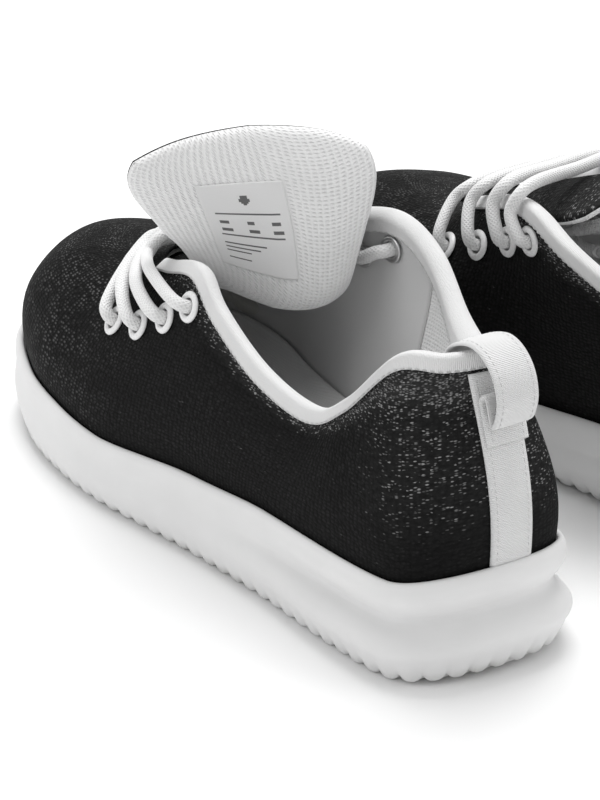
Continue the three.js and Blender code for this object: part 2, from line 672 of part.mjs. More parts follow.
    const a = corner(THREE.MathUtils.lerp(-1 / 3, 1 / 3, i), b);
    return tongueAt(a, b).addScaledVector(tongueNormal(a, b), -half(a, b) - GAP * 2 - 1.1 - lift);
  };
  add('size_label', sheet(2, 2, labelFace(0), labelFace(0.4)), LABEL);

  // ---- lace: one cord laced in straight bars, from eyelet to eyelet up the throat ----
  const r = LACE_DIAMETER / 2;
  const topOfFlange = FLANGE_LIFT + 0.9;
  const underFlange = LINING_END + 1.8;
  const find = (side, row) => eyelets.find((e) => e.side === side && e.row === row);
  // Points where the cord leaves an eyelet towards a target, above or below the layers.
  const leave = (e, target, above) => {
    const sign = above ? 1 : -1;
    const rest = above ? topOfFlange : underFlange;
    const d = target.clone().sub(e.point).projectOnPlane(e.out).normalize();
    const spot = (lift, away) => e.point.clone().addScaledVector(e.out, sign * lift)
      .addScaledVector(d, away);
    return [spot(rest - 0.2, 0), spot(rest + 1.9, 0.9), spot(rest + r + 0.7, 4)];
  };
  const lacing = { lateral: [10.2, 9.8, 9.45, 9.12], medial: [14.0, 14.45, 14.85, 15.2] };
  const crossing = (side, row) => {
    const place = EYELET_PLACES[side][row][0];
    const step = side === 'lateral' ? 0.35 : -0.35;
    const u = raised ? lacing[side][row] : place + step;
    const edge = shell.skin(u, 1).addScaledVector(shell.normal(u, 0.98), 1.2);
    const stack = raised ? 2.2 * (row % 2) : 0;
    return { u, top: edge.add(new THREE.Vector3(0, 0, r + 3 + stack)) };
  };
  const overFacing = (e, row) => {
    const { u, top } = crossing(e.side, row);
    const [eu, ev] = EYELET_PLACES[e.side][row];
    const ride = (share, lift) => {
      const at = THREE.MathUtils.lerp(eu, u, share);
      const v = THREE.MathUtils.lerp(ev, 0.97, share);
      return shell.at(at, v, -lift);
    };
    const far = raised && row > 0;
    const first = ride(far ? 0.4 : 0.5, r + 3.3);
    const path = [...leave(e, first, true)];
    if (far) path.push(first, ride(0.7, r + 3.2));
    path.push(ride(0.94, r + 3.2), top);
    return path;
  };
  const inward = (e) => e.point.clone().addScaledVector(e.out, -10);
  const cordLine = [];
  const start = find('lateral', 0);
  const startEnd = inward(start).add(new THREE.Vector3(5, -26, 3));
  cordLine.push(startEnd, inward(start).add(new THREE.Vector3(3, -14, 1)));
  cordLine.push(...leave(start, startEnd, false).reverse());
  for (let row = 0; row < 4; row += 1) {
    const order = row % 2 === 0 ? ['lateral', 'medial'] : ['medial', 'lateral'];
    const [first, second] = order.map((side) => find(side, row));
    const there = overFacing(first, row);
    const back = overFacing(second, row).reverse();
    const middleOfBar = there[there.length - 1].clone().add(back[0]).multiplyScalar(0.5);
    middleOfBar.z = raised ? 87 + 2 * (row % 2) : middleOfBar.z + 1;
    if (raised) middleOfBar.y = 57.5 - 4.9 * row;
    cordLine.push(...there, middleOfBar, ...back);
    const next = row < 3 ? find(order[1], row + 1) : null;
    if (next) {
      cordLine.push(...leave(second, next.point, false));
      cordLine.push(...leave(next, second.point, false).reverse());
    } else {
      const tail = inward(second).add(new THREE.Vector3(2, 26, -14));
      cordLine.push(...leave(second, tail, false));
      cordLine.push(inward(second).add(new THREE.Vector3(2, 14, -8)), tail);
    }
  }
  const cord = new THREE.CatmullRomCurve3(cordLine, false, 'centripetal');
  const stops = [];
  for (let i = 0; i < cordLine.length; i += 1) {
    stops.push(i / (cordLine.length - 1));
    const long = i + 1 < cordLine.length && cordLine[i].distanceTo(cordLine[i + 1]) > 12;
    if (long) stops.push((i + 0.5) / (cordLine.length - 1));
  }
  let across = new THREE.Vector3(1, 0, 0);
  const cordRings = stops.map((t) => {
    const at = cord.getPoint(t);
    const along = cord.getTangent(t);
    across = across.clone().projectOnPlane(along).normalize();
    const other = new THREE.Vector3().crossVectors(along, across);
    return Array.from({ length: 8 }, (_, k) => at.clone()
      .addScaledVector(across, r * Math.cos((k * Math.PI) / 4))
      .addScaledVector(other, r * Math.sin((k * Math.PI) / 4)));
  });
  add('lace', bar(cordRings), CORD_WHITE);
  [['aglet_lower', 0], ['aglet_upper', 1]].forEach(([name, t]) => {
    const out = cord.getTangent(t).multiplyScalar(t === 0 ? -1 : 1);
    const tip = new THREE.CylinderGeometry(r * 0.75, r * 0.75, 14, 6);
    tip.applyQuaternion(turnTo(out));
    const at = cord.getPoint(t).addScaledVector(out, 7 + GAP);
    add(name, tip.translate(at.x, at.y, at.z), TIP);
  });
  return parts;
}

// ---- the pair -----------------------------------------------------------------------------
const pair = new THREE.Group();
function place(prefix, parts, matrix) {
  const mirrored = matrix.determinant() < 0;
  for (const [name, { geometry, material }] of Object.entries(parts)) {
    const body = welded(geometry);
    body.applyMatrix4(matrix);
    if (mirrored) {
      const index = Array.from(body.index.array);
      for (let i = 0; i < index.length; i += 3) {
        [index[i + 1], index[i + 2]] = [index[i + 2], index[i + 1]];
      }
      body.setIndex(index);
    }
    body.computeVertexNormals();
    const mesh = new THREE.Mesh(body, material);
    mesh.name = `${prefix}_${name}`;
    pair.add(mesh);
  }
}

place('left', makeShoe({ closing: 0, raised: true }), new THREE.Matrix4());
const mirror = new THREE.Matrix4().makeScale(-1, 1, 1);
const turn = new THREE.Matrix4().makeRotationZ(PAIR_TURN);
const shift = new THREE.Matrix4().makeTranslation(PAIR_SPACING, PAIR_STAGGER, 0);
place('right', makeShoe({ closing: 0.12, raised: false }), shift.multiply(turn).multiply(mirror));

// The origin goes to the middle of the pair's box, on the floor.
const box = new THREE.Box3().setFromObject(pair);
const middle = box.getCenter(new THREE.Vector3());
for (const mesh of pair.children) {
  mesh.geometry.translate(-middle.x, -middle.y, -box.min.z);
}

export default pair;
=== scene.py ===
"""The looks of a pair of cheer shoes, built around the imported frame.

Each shoe is drawn in its own frame in millimetres, as its CAD source does: the origin is on the
floor under the middle of the sole, toes towards +Y, the inner (medial) side towards +X.
"""

import json
import math

import bmesh
import bpy
import numpy as np
from mathutils import Matrix, Vector
from mathutils.bvhtree import BVHTree


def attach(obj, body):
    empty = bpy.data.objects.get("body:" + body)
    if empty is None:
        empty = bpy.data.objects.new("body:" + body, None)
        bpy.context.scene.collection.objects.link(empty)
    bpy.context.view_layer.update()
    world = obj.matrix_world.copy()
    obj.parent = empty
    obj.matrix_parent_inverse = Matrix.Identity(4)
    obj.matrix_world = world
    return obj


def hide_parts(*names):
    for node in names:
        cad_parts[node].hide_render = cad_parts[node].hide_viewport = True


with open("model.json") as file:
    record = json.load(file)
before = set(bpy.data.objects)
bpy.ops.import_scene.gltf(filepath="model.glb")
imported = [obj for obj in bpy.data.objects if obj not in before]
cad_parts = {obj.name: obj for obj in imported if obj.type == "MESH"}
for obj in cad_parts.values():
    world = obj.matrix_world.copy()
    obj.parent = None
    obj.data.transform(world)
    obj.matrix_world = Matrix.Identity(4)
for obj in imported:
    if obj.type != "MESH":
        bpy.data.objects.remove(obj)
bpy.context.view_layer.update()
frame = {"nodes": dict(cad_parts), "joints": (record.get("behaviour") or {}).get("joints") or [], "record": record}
JOINTS = {joint["name"]: joint for joint in frame["joints"]}
MM = 0.001

# ---- sizes, in millimetres, as in the CAD source --------------------
SOLE_LENGTH = 285
GAP = 0.3
UPPER_THICK = 1.4
STIFFENER_THICK = 0.8
LINING_THICK = 0.8
COLLAR_PADDING = 5
BED_DEPTH = 5
TOE_SPRING = 7
LACE_DIAMETER = 4.6
EYELET_HOLE = LACE_DIAMETER / 2 + 0.7
EYELET_FLANGE = EYELET_HOLE + 2.5
EYELET_WALL = 0.5
FLANGE_LIFT = 0.6
STRAP_WIDTH = 16
STRAP_THICK = 1.2
STRIP_GAP = 0.5
TAPE_GAP = 0.55
TONGUE_PADDING = 3.6
HINGE_AT = (0, 64, 72.4)
BINDING_THICK = 1.1
AGLET_LENGTH = 14
SOLE_STEP = 1.25
LUG_PITCH = 7.5
TREAD_PITCH = 9.5
TREAD_DEPTH = 2.2
TONGUE_WIDTH = 76
TONGUE_LENGTH = 80
TONGUE_EDGE = 3.2
PUFF_CAP = 1.1
STRAP_STITCH = {"pitch": 2.4, "long": 1.7, "radius": 0.11}
BINDING_STITCH = {"pitch": 2.6, "long": 1.7, "radius": 0.22}

# Places on the wrapped surface: u where the collar's lining ends, v where all linings end.
COLLAR_SEAM = 4.9
LINING_TOP = 0.98

STIFFENER_AT = UPPER_THICK + GAP
LINING_AT = STIFFENER_AT + STIFFENER_THICK + GAP
LINING_END = LINING_AT + LINING_THICK

EYELET_PLACES = {
    "lateral": [(8.5, 0.61), (7.84, 0.645), (7.3, 0.71), (6.8, 0.82)],
    "medial": [(15.75, 0.715), (16.45, 0.745), (17.15, 0.785), (17.9, 0.84)],
}

# One rib per row round the shoe: foot (2), top (3), rise (2), crown (3), as in the CAD source.
RIBS = np.array([
    [0, -134, 0, -119.5, 107.5, 26, 2, 0, -9, -26],
    [-23, -130.5, -13, -115, 107, 26, 3, -4, -7, -26],
    [-35, -119, -22, -102, 104.5, 24, 3, -7, -3, -24],
    [-38.5, -90, -30, -87, 86, 18, 1, -6, 0, -17],
    [-39, -55, -32.4, -70, 75.5, 14, 1, -5, 0, -13],
    [-40.5, -30, -34, -42, 79, 15, 2, -6, 0, -14],
    [-42.5, -8, -33, -15, 90, 18, 3, -8, 1, -16],
    [-45.5, 14, -30, 2, 98.5, 20, 3, -9, 3, -20],
    [-48.6, 40, -25, 26, 90, 20, 3, -13, 4, -16],
    [-48, 66, -17, 46, 82, 18, 4, -17, 8, -10],
    [-42.5, 95, -9, 57, 79, 22, 5, -19, 26, -5],
    [-28, 123, -4.5, 60.8, 78.5, 26, 6, -14, 42, -4],
    [2, 137, 0, 62, 78.5, 30, 6, 0, 50, -4],
    [31, 121, 4.5, 60.8, 78.5, 26, 6, 14, 40, -4],
    [44, 95, 9, 57, 79, 22, 5, 19, 24, -5],
    [48, 66, 18, 46, 83, 18, 4, 17, 8, -11],
    [44, 40, 28, 26, 93, 20, 3, 12, 4, -17],
    [37.5, 12, 37, 3, 103, 20, 2, 5, 3, -22],
    [33.5, -10, 43, -14, 105, 20, 1, 2, 1, -22],
    [31.5, -32, 43, -34, 98.5, 20, 1, 1, 0, -20],
    [31, -58, 36, -59, 87, 16, 1, 2, 0, -15],
    [31.5, -92, 29, -84, 84, 18, 1, 5, 0, -17],
    [27.5, -120, 20, -102, 97, 24, 3, 7, -3, -24],
    [18, -131, 12, -115, 104.5, 26, 3, 4, -7, -26],
])
RIB_COUNT = len(RIBS)
RIM = np.array([(-137, 40.5), (-118, 36), (-90, 35), (-51, 33.5), (-13, 30.5),
                (40, 25.5), (93, 27.5), (125, 31), (140, 33)])


# ---- curves --------------------
def smooth(x, low, high):
    """0 below low, 1 above high, and eased between them."""
    t = np.clip((np.asarray(x, float) - low) / (high - low), 0, 1)
    return t * t * (3 - 2 * t)


def blend4(a, b, c, d, t):
    """Catmull-Rom value between b and c."""
    return 0.5 * (2 * b + (c - a) * t + (2 * a - 5 * b + 4 * c - d) * t * t
                  + (3 * b - a - 3 * c + d) * t ** 3)


def loop_at(rows, u):
    """Value of a periodic spline through rows at places u."""
    u = np.asarray(u, float)
    place = np.mod(u, len(rows))
    i = np.floor(place).astype(int) % len(rows)
    t = (place - np.floor(place))[..., None]
    a, b, c, d = (rows[(i + k) % len(rows)] for k in (-1, 0, 1, 2))
    return blend4(a, b, c, d, t)


def open_at(rows, t):
    """Value of an open spline through rows (their first axis) at t from 0 to 1."""
    rows = np.asarray(rows, float)
    t = np.clip(np.asarray(t, float), 0, 1)
    full = np.concatenate([[2 * rows[0] - rows[1]], rows, [2 * rows[-1] - rows[-2]]])
    place = t * (len(rows) - 1)
    i = np.minimum(np.floor(place).astype(int), len(rows) - 2)
    s = (place - i).reshape(t.shape + (1,) * (rows.ndim - 1))
    return blend4(full[i], full[i + 1], full[i + 2], full[i + 3], s)


def unit(v):
    return v / np.maximum(np.linalg.norm(v, axis=-1, keepdims=True), 1e-9)


def distance(line):
    """How far each point of a line lies along it."""
    steps = np.linalg.norm(np.diff(line, axis=0), axis=1)
    return np.concatenate([[0], np.cumsum(steps)])


def between(at, length, values):
    """Values (one row for each of the lengths) read off at other lengths."""
    return np.stack([np.interp(at, length, values[:, k]) for k in range(3)], 1)


def rim_height(y):
    """Height of the sole's upper edge."""
    i = np.clip(np.searchsorted(RIM[:, 0], y, side="left") - 1, 0, len(RIM) - 2)
    t = np.clip((y - RIM[i, 0]) / (RIM[i + 1, 0] - RIM[i, 0]), 0, 1)
    share = t * t * (3 - 2 * t) * 0.5 + t * 0.5
    return RIM[i, 1] * (1 - share) + RIM[i + 1, 1] * share


def sole_bottom(y):
    """Height of the sole's underside: it rises at the toe and a little at the heel."""
    toe = smooth(y, 0.26 * SOLE_LENGTH, 0.52 * SOLE_LENGTH)
    heel = smooth(-y, 0.40 * SOLE_LENGTH, 0.49 * SOLE_LENGTH)
    return TOE_SPRING * toe + 2.5 * heel


class Shell:
    """The wrapped surface of the upper: u runs round the shoe, v from the bed to the opening."""

    def __init__(self, closing):
        self.feet = RIBS[:, 0:2]
        self.tops = RIBS[:, 2:5].copy()
        self.tops[:, 0] *= 1 - closing * smooth(self.tops[:, 1], -50, 0)
        self.rises = RIBS[:, 5:7]
        self.crowns = RIBS[:, 7:10]

    def foot(self, u):
        xy = loop_at(self.feet, u)
        return np.concatenate([xy, rim_height(xy[..., 1])[..., None]], -1)

    def foot_normal(self, u):
        u = np.asarray(u, float)
        a = loop_at(self.feet, u - 0.01)
        b = loop_at(self.feet, u + 0.01)
        d = b - a
        return unit(np.stack([-d[..., 1], d[..., 0], np.zeros_like(d[..., 0])], -1))

    def skin(self, u, v):
        u, v = np.broadcast_arrays(np.asarray(u, float), np.asarray(v, float))
        f = self.foot(u)
        rise = loop_at(self.rises, u)
        t = loop_at(self.tops, u)
        p = f + self.foot_normal(u) * rise[..., 1:2]
        p[..., 2] += rise[..., 0]
        q = t + loop_at(self.crowns, u)
        x = np.clip(v, 0, None)[..., None]
        w = 1 - x
        wrapped = f * w ** 3 + 3 * p * w * w * x + 3 * q * w * x * x + t * x ** 3
        low = f.copy()
        low[..., 2] += v * BED_DEPTH
        return np.where((v <= 0)[..., None], low, wrapped)

    def normal(self, u, v):
        u, v = np.broadcast_arrays(np.asarray(u, float), np.asarray(v, float))
        along = self.skin(u + 0.02, v) - self.skin(u - 0.02, v)
        up = self.skin(u, np.minimum(v + 0.01, 1)) - self.skin(u, np.maximum(v - 0.01, 0.001))
        n = unit(np.cross(up, along))
        foot = self.foot_normal(u)
        share = np.clip(1 - v / 0.08, 0, 1)[..., None]
        return np.where((v <= 0)[..., None], foot, unit(n * (1 - share) + foot * share))

    def at(self, u, v, depth):
        return self.skin(u, v) - self.normal(u, v) * np.asarray(depth, float)[..., None]

    def up(self, u):
        """Direction of the surface towards the opening, at the opening."""
        return unit(self.skin(u, 1.0) - self.skin(u, 0.97))


def roll(u, v):
    """Thickness of the collar's padding."""
    ring = 1 - smooth(np.abs(u), 3.2, 4.5)
    x = np.clip((v - 0.55) / 0.5, 0, 1)
    return STIFFENER_THICK + COLLAR_PADDING * ring * np.sin(math.pi * x ** 1.3)


def collar_lining(u, v):
    """Depth of the collar lining's outer face."""
    return STIFFENER_AT + roll(u, v) + GAP


# ---- materials --------------------
class Paint:
    """A node material: small helpers around its node tree."""

    def __init__(self, name, roughness):
        self.material = bpy.data.materials.new(name)
        self.material.use_nodes = True
        self.tree = self.material.node_tree
        self.shader = self.tree.nodes["Principled BSDF"]
        self.set("Roughness", roughness)

    def feed(self, target, value):
        """Links a socket to a target, or gives the target a plain value."""
        if isinstance(value, bpy.types.NodeSocket):
            self.tree.links.new(value, target)
        else:
            target.default_value = value

    def set(self, socket, value):
        self.feed(self.shader.inputs[socket], value)

    def add(self, kind, *values, **settings):
        made = self.tree.nodes.new("ShaderNode" + kind)
        for key, value in settings.items():
            setattr(made, key, value)
        for i, value in enumerate(values):
            self.feed(made.inputs[i], value)
        return made

    def math(self, operation, a, b=0.0, clamp=False):
        return self.add("Math", a, b, operation=operation, use_clamp=clamp).outputs[0]

    def plus(self, a, b):
        return self.math("ADD", a, b)

    def times(self, a, b, clamp=False):
        return self.math("MULTIPLY", a, b, clamp)

    def uv(self, x, y):
        """The wrap coordinates in metres, divided by a cell size in millimetres."""
        source = self.add("UVMap", uv_map="wrap").outputs[0]
        return self.add("VectorMath", source, (1 / (x * MM), 1 / (y * MM), 1),
                        operation="MULTIPLY").outputs[0]

    def object_space(self, size):
        source = self.add("TexCoord").outputs["Object"]
        return self.add("VectorMath", source, (1 / (size * MM),) * 3,
                        operation="MULTIPLY").outputs[0]

    def noise(self, vector, detail):
        made = self.add("TexNoise", vector)
        made.inputs["Scale"].default_value = 1.0
        made.inputs["Detail"].default_value = detail
        return made.outputs[0]

    def cells(self, vector, randomness=1.0):
        made = self.add("TexVoronoi", vector)
        made.inputs["Scale"].default_value = 1.0
        made.inputs["Randomness"].default_value = randomness
        return made.outputs["Distance"], made.outputs["Color"]

    def ribs(self, vector, direction, distortion=0.0):
        """Waves 0.63 of a cell apart, or 1.26 on the diagonal."""
        made = self.add("TexWave", vector, bands_direction=direction)
        made.inputs["Scale"].default_value = 0.5
        made.inputs["Distortion"].default_value = distortion
        made.inputs["Detail"].default_value = 1.0
        return made.outputs["Fac"]

    def band(self, value, low, high):
        made = self.add("MapRange", value)
        made.inputs["From Min"].default_value = low
        made.inputs["From Max"].default_value = high
        return made.outputs[0]

    def mix(self, share, a, b):
        made = self.add("Mix", data_type="RGBA")
        for key, value in ((0, share), (6, a), (7, b)):
            self.feed(made.inputs[key], value)
        return made.outputs[2]

    def bump(self, height, depth):
        made = self.add("Bump")
        made.inputs["Strength"].default_value = 1.0
        made.inputs["Distance"].default_value = depth * MM
        self.tree.links.new(height, made.inputs["Height"])
        self.tree.links.new(made.outputs[0], self.shader.inputs["Normal"])


def grey(value, tint=0.0):
    return (value, value, value * (1 - tint), 1)


def knit_paint():
    """Black knit: dark grey dots in rows, painted lighter over the toes as a highlight; painted highlights by the
    collar and heel, as silvery glints in short dashes and a faint sheen.
    """
    paint = Paint("knit", roughness=0.7)
    paint.set("Specular IOR Level", 0.11)
    painted_shine = paint.add("Attribute", attribute_name="painted_shine").outputs["Fac"]
    vamp = paint.add("Attribute", attribute_name="vamp").outputs["Fac"]
    stitch, _ = paint.cells(paint.uv(1.9, 1.3), 0.45)
    glint_cells, pick = paint.cells(paint.uv(1.25, 0.5), 1.0)
    chance = paint.add("SeparateColor", pick).outputs[0]
    drift = paint.noise(paint.uv(7, 4), 3.0)
    cloudy = paint.noise(paint.uv(2.6, 1.5), 3.0)
    patch = paint.noise(paint.uv(16, 11), 2.0)
    ground = paint.mix(paint.band(cloudy, 0.38, 0.72), grey(0.002), grey(0.0065))
    # The dots are the knit's own pattern; showing them far stronger over the toes than on the sides is a painted
    # highlight.
    dots = paint.times(paint.band(stitch, 0.42, 0.12), paint.band(patch, 0.34, 0.68))
    dotted = paint.mix(paint.times(dots, vamp), ground, grey(0.1))
    # Painted highlights: silvery glints in short dashes, thicker along the collar's edge and round the heel, with
    # lower roughness.
    dense = paint.plus(painted_shine, paint.times(drift, 0.5))
    lit = paint.band(paint.math("SUBTRACT", paint.plus(chance, dense), 1.27), 0.0, 0.25)
    spot = paint.band(glint_cells, 0.62, 0.22)
    glint_mask = paint.times(lit, spot, clamp=True)
    glint_colour = paint.mix(chance, grey(0.03), grey(0.36))
    # Painted sheen: a faint grey lift along the collar's edge and round the heel.
    painted_sheen = paint.mix(paint.times(painted_shine, cloudy, clamp=True), dotted, grey(0.05))
    paint.set("Base Color", paint.mix(glint_mask, painted_sheen, glint_colour))
    paint.set("Roughness", paint.math("SUBTRACT", 0.74, paint.times(glint_mask, 0.36)))
    height = paint.plus(paint.times(paint.band(stitch, 0.7, 0.1), 0.5),
                        paint.times(glint_mask, 0.6))
    paint.bump(paint.plus(height, paint.times(cloudy, 0.9)), 0.45)
    return paint.material


def foam_paint():
    """White moulded foam: a satin skin, finely pebbled, a little darker and greyer in patches towards the floor.
    """
    paint = Paint("sole_foam", roughness=0.5)
    paint.set("Specular IOR Level", 0.35)
    paint.set("Subsurface Weight", 0.08)
    paint.set("Subsurface Radius", (0.004, 0.004, 0.004))
    paint.set("Subsurface Scale", 1.0)
    near_floor = paint.add("Attribute", attribute_name="near_floor").outputs["Fac"]
    fine = paint.noise(paint.object_space(0.5), 3.0)
    broad = paint.noise(paint.object_space(22), 3.0)
    # Darker and greyer towards the bottom of the sole, in broad patches.
    near_floor_grey = paint.times(near_floor, paint.band(broad, 0.35, 0.7))
    tone = paint.mix(paint.band(broad, 0.3, 0.7), grey(0.74), grey(0.77))
    paint.set("Base Color", paint.mix(near_floor_grey, tone, grey(0.52, 0.03)))
    paint.set("Roughness", paint.plus(0.46, paint.times(broad, 0.14)))
    paint.bump(fine, 0.035)
    return paint.material


def tape_paint(name, pitch, direction, depth, tone=0.82, fuzz=0.25):
    """White woven tape, ribbed in cells of pitch millimetres."""
    paint = Paint(name, roughness=0.85)
    paint.set("Sheen Weight", 0.25)
    rib = paint.ribs(paint.uv(pitch, pitch), direction, 0.35)
    fuzzy = paint.noise(paint.uv(0.7, 0.7), 3.0)
    broad = paint.noise(paint.uv(11, 11), 2.0)
    height = paint.plus(rib, paint.times(fuzzy, fuzz * 4))
    paint.set("Base Color", paint.mix(paint.times(rib, paint.band(broad, 0.2, 1.2)),
                                      grey(tone * 0.86), grey(tone)))
    paint.bump(height, depth)
    return paint.material


def mesh_paint(name, cell, tone, depth=0.35):
    """White spacer mesh: a close pattern of small pits in staggered rows, with painted shade in the pits."""
    paint = Paint(name, roughness=0.85)
    paint.set("Sheen Weight", 0.2)
    far, _ = paint.cells(paint.uv(cell, cell * 0.8), 0.12)
    pit = paint.band(far, 0.12, 0.42)
    fuzzy = paint.noise(paint.uv(0.5, 0.5), 2.0)
    broad = paint.noise(paint.uv(16, 16), 2.0)
    # Painted shade: the pits are drawn a tenth darker than the cloth round them.
    shade = paint.mix(pit, grey(tone * 0.9), grey(tone))
    paint.set("Base Color", paint.mix(paint.band(broad, 0.3, 0.9), shade, grey(tone * 0.95)))
    paint.bump(paint.plus(pit, paint.times(fuzzy, 0.5)), depth)
    return paint.material


def lining_paint():
    """Smooth light grey lining with very fine upright ribs and soft wrinkles."""
    paint = Paint("lining_cloth", roughness=0.8)
    paint.set("Sheen Weight", 0.2)
    rib = paint.ribs(paint.uv(0.9, 0.9), "X", 0.4)
    folds = paint.noise(paint.uv(14, 30), 3.0)
    paint.set("Base Color", paint.mix(paint.times(rib, 0.5), grey(0.66), grey(0.72)))
    paint.bump(paint.plus(paint.times(rib, 0.25), folds), 0.5)
    return paint.material


def board_paint(name, tone):
    """Pressed fibre board."""
    paint = Paint(name, roughness=0.9)
    fibre = paint.noise(paint.object_space(1.2), 4.0)
    paint.set("Base Color", paint.mix(fibre, grey(tone * 0.85, 0.06), grey(tone, 0.04)))
    paint.bump(fibre, 0.2)
    return paint.material


def padding_paint():
    """Open-celled foam."""
    paint = Paint("padding", roughness=0.95)
    cell, _ = paint.cells(paint.object_space(0.6))
    paint.set("Base Color", paint.mix(paint.band(cell, 0.1, 0.6), grey(0.6, 0.08), grey(0.8, 0.05)))
    paint.bump(cell, 0.3)
    return paint.material


def lace_paint():
    """White braided cord: strands crossing in a herringbone."""
    paint = Paint("lace_cord", roughness=0.8)
    paint.set("Sheen Weight", 0.3)
    one = paint.ribs(paint.uv(1.1, 1.1), "DIAGONAL")
    turned = paint.add("VectorMath", paint.uv(1.1, 1.1), (-1, 1, 1), operation="MULTIPLY").outputs[0]
    two = paint.ribs(turned, "DIAGONAL")
    braid = paint.math("MAXIMUM", one, two)
    paint.set("Base Color", paint.mix(braid, grey(0.74), grey(0.86)))
    paint.bump(braid, 0.22)
    return paint.material


def metal_paint(name, colour, metallic, roughness):
    """Smooth metal, enamel or plastic with a trace of unevenness."""
    paint = Paint(name, roughness=roughness)
    paint.set("Metallic", metallic)
    fine = paint.noise(paint.object_space(0.7), 3.0)
    paint.set("Base Color", paint.mix(fine, grey(colour * 0.92), grey(colour)))
    paint.set("Roughness", paint.plus(roughness - 0.06, paint.times(fine, 0.12)))
    paint.bump(fine, 0.02)
    return paint.material


def satin_paint(name, tone):
    """Woven satin label, or its dark generic marks."""
    paint = Paint(name, roughness=0.5)
    weave = paint.ribs(paint.uv(0.35, 0.35), "Y", 0.2)
    warp = paint.ribs(paint.uv(0.5, 0.5), "X", 0.2)
    both = paint.times(weave, warp)
    paint.set("Base Color", paint.mix(both, grey(tone * 0.88), grey(tone)))
    paint.bump(both, 0.06)
    return paint.material


PAINTS = {
    "knit": knit_paint(),
    "foam": foam_paint(),
    "binding": tape_paint("binding_tape", 0.8, "X", 0.14, tone=0.88, fuzz=0.4),
    "strap": tape_paint("strap_tape", 0.95, "Y", 0.2, tone=0.9, fuzz=0.06),
    "mesh": mesh_paint("mesh_lining", 1.7, 0.84),
    "tongue_mesh": mesh_paint("tongue_mesh", 1.7, 0.84, 0.3),
    "lining": lining_paint(),
    "insole": mesh_paint("insole_cloth", 1.1, 0.74, 0.15),
    "board": board_paint("board", 0.6),
    "padding": padding_paint(),
    "lace": lace_paint(),
    "thread": tape_paint("thread", 0.4, "DIAGONAL", 0.1, tone=0.9),
    "enamel": metal_paint("eyelet_enamel", 0.86, 0.0, 0.28),
    "steel": metal_paint("eyelet_metal", 0.72, 1.0, 0.3),
    "label": satin_paint("label", 0.84),
    "ink": satin_paint("label_marks", 0.13),
    "tip": metal_paint("lace_tip", 0.8, 0.0, 0.25),
}


# ---- mesh building --------------------
class Shoe:
    """One shoe of the pair: its frame in the row, its shell, and the making of its pieces."""

    def __init__(self, side, closing, raised):
        self.side = side
        self.body = f"{side}_shoe"
        self.tongue = f"{side}_tongue"
        self.raised = raised
        self.shell = Shell(closing)
        self.mirrored = side == "right"
        hinge = JOINTS[f"{side}_tongue_tilt"]
        turn = math.atan2(hinge["axis"][1], hinge["axis"][0])
        flip = -1 if self.mirrored else 1
        self.rotation = np.array([
            [math.cos(turn) * flip, -math.sin(turn), 0],
            [math.sin(turn) * flip, math.cos(turn), 0],
            [0, 0, 1],
        ]) * MM
        self.origin = np.array(hinge["pos_m"]) - self.rotation @ np.array(HINGE_AT, float)

    def to_row(self, points):
        return np.asarray(points, float) @ self.rotation.T + self.origin

    def piece(self, name, points, faces, paints, slot, uv, values=None, body=None, marks=None):
        """A mesh piece from points in the shoe's frame.

        faces is one array of faces, or a list of arrays, with as many pairs of uv as corners.
        """
        if not isinstance(faces, list):
            faces, uv = [faces], [uv]
        if self.mirrored:
            faces = [part[:, ::-1] for part in faces]
            uv = [part[:, ::-1] for part in uv]
        mesh = bpy.data.meshes.new(f"{self.side}_{name}")
        mesh.from_pydata(self.to_row(points).tolist(), [],
                         [face for part in faces for face in part.tolist()])
        layer = mesh.uv_layers.new(name="wrap")
        layer.data.foreach_set("uv", np.concatenate([part.ravel() for part in uv]))
        for key, value in (values or {}).items():
            attribute = mesh.attributes.new(key, "FLOAT", "POINT")
            attribute.data.foreach_set("value", np.asarray(value, np.float32).ravel())
        for paint in paints.split():
            mesh.materials.append(PAINTS[paint])
        if marks is not None:
            mesh.polygons.foreach_set("material_index", np.asarray(marks, np.int32))
        mesh.polygons.foreach_set("use_smooth", [True] * len(mesh.polygons))
        mesh.update()
        made = bpy.data.objects.new(f"{self.side}_{name}_shown", mesh)
        bpy.context.scene.collection.objects.link(made)
        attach(made, body or self.body)
        return made

    def stand_for(self, made, *nodes):
        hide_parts(*[f"{self.side}_{node}" for node in nodes])


def quads(columns, rows, wraps, flip=False):
    """Faces of a grid, and for each corner its place (column, row) with the seam kept apart."""
    i, j = np.meshgrid(np.arange(columns), np.arange(rows), indexing="ij")
    i, j = i.ravel(), j.ravel()
    corners = [(i, j), (i + 1, j), (i + 1, j + 1), (i, j + 1)]
    if flip:
        corners = corners[::-1]
    width = columns if wraps else columns + 1
    faces = np.stack([(a % width) * (rows + 1) + b for a, b in corners], 1)
    places = np.stack([a * (rows + 1) + b for a, b in corners], 1)
    return faces, places


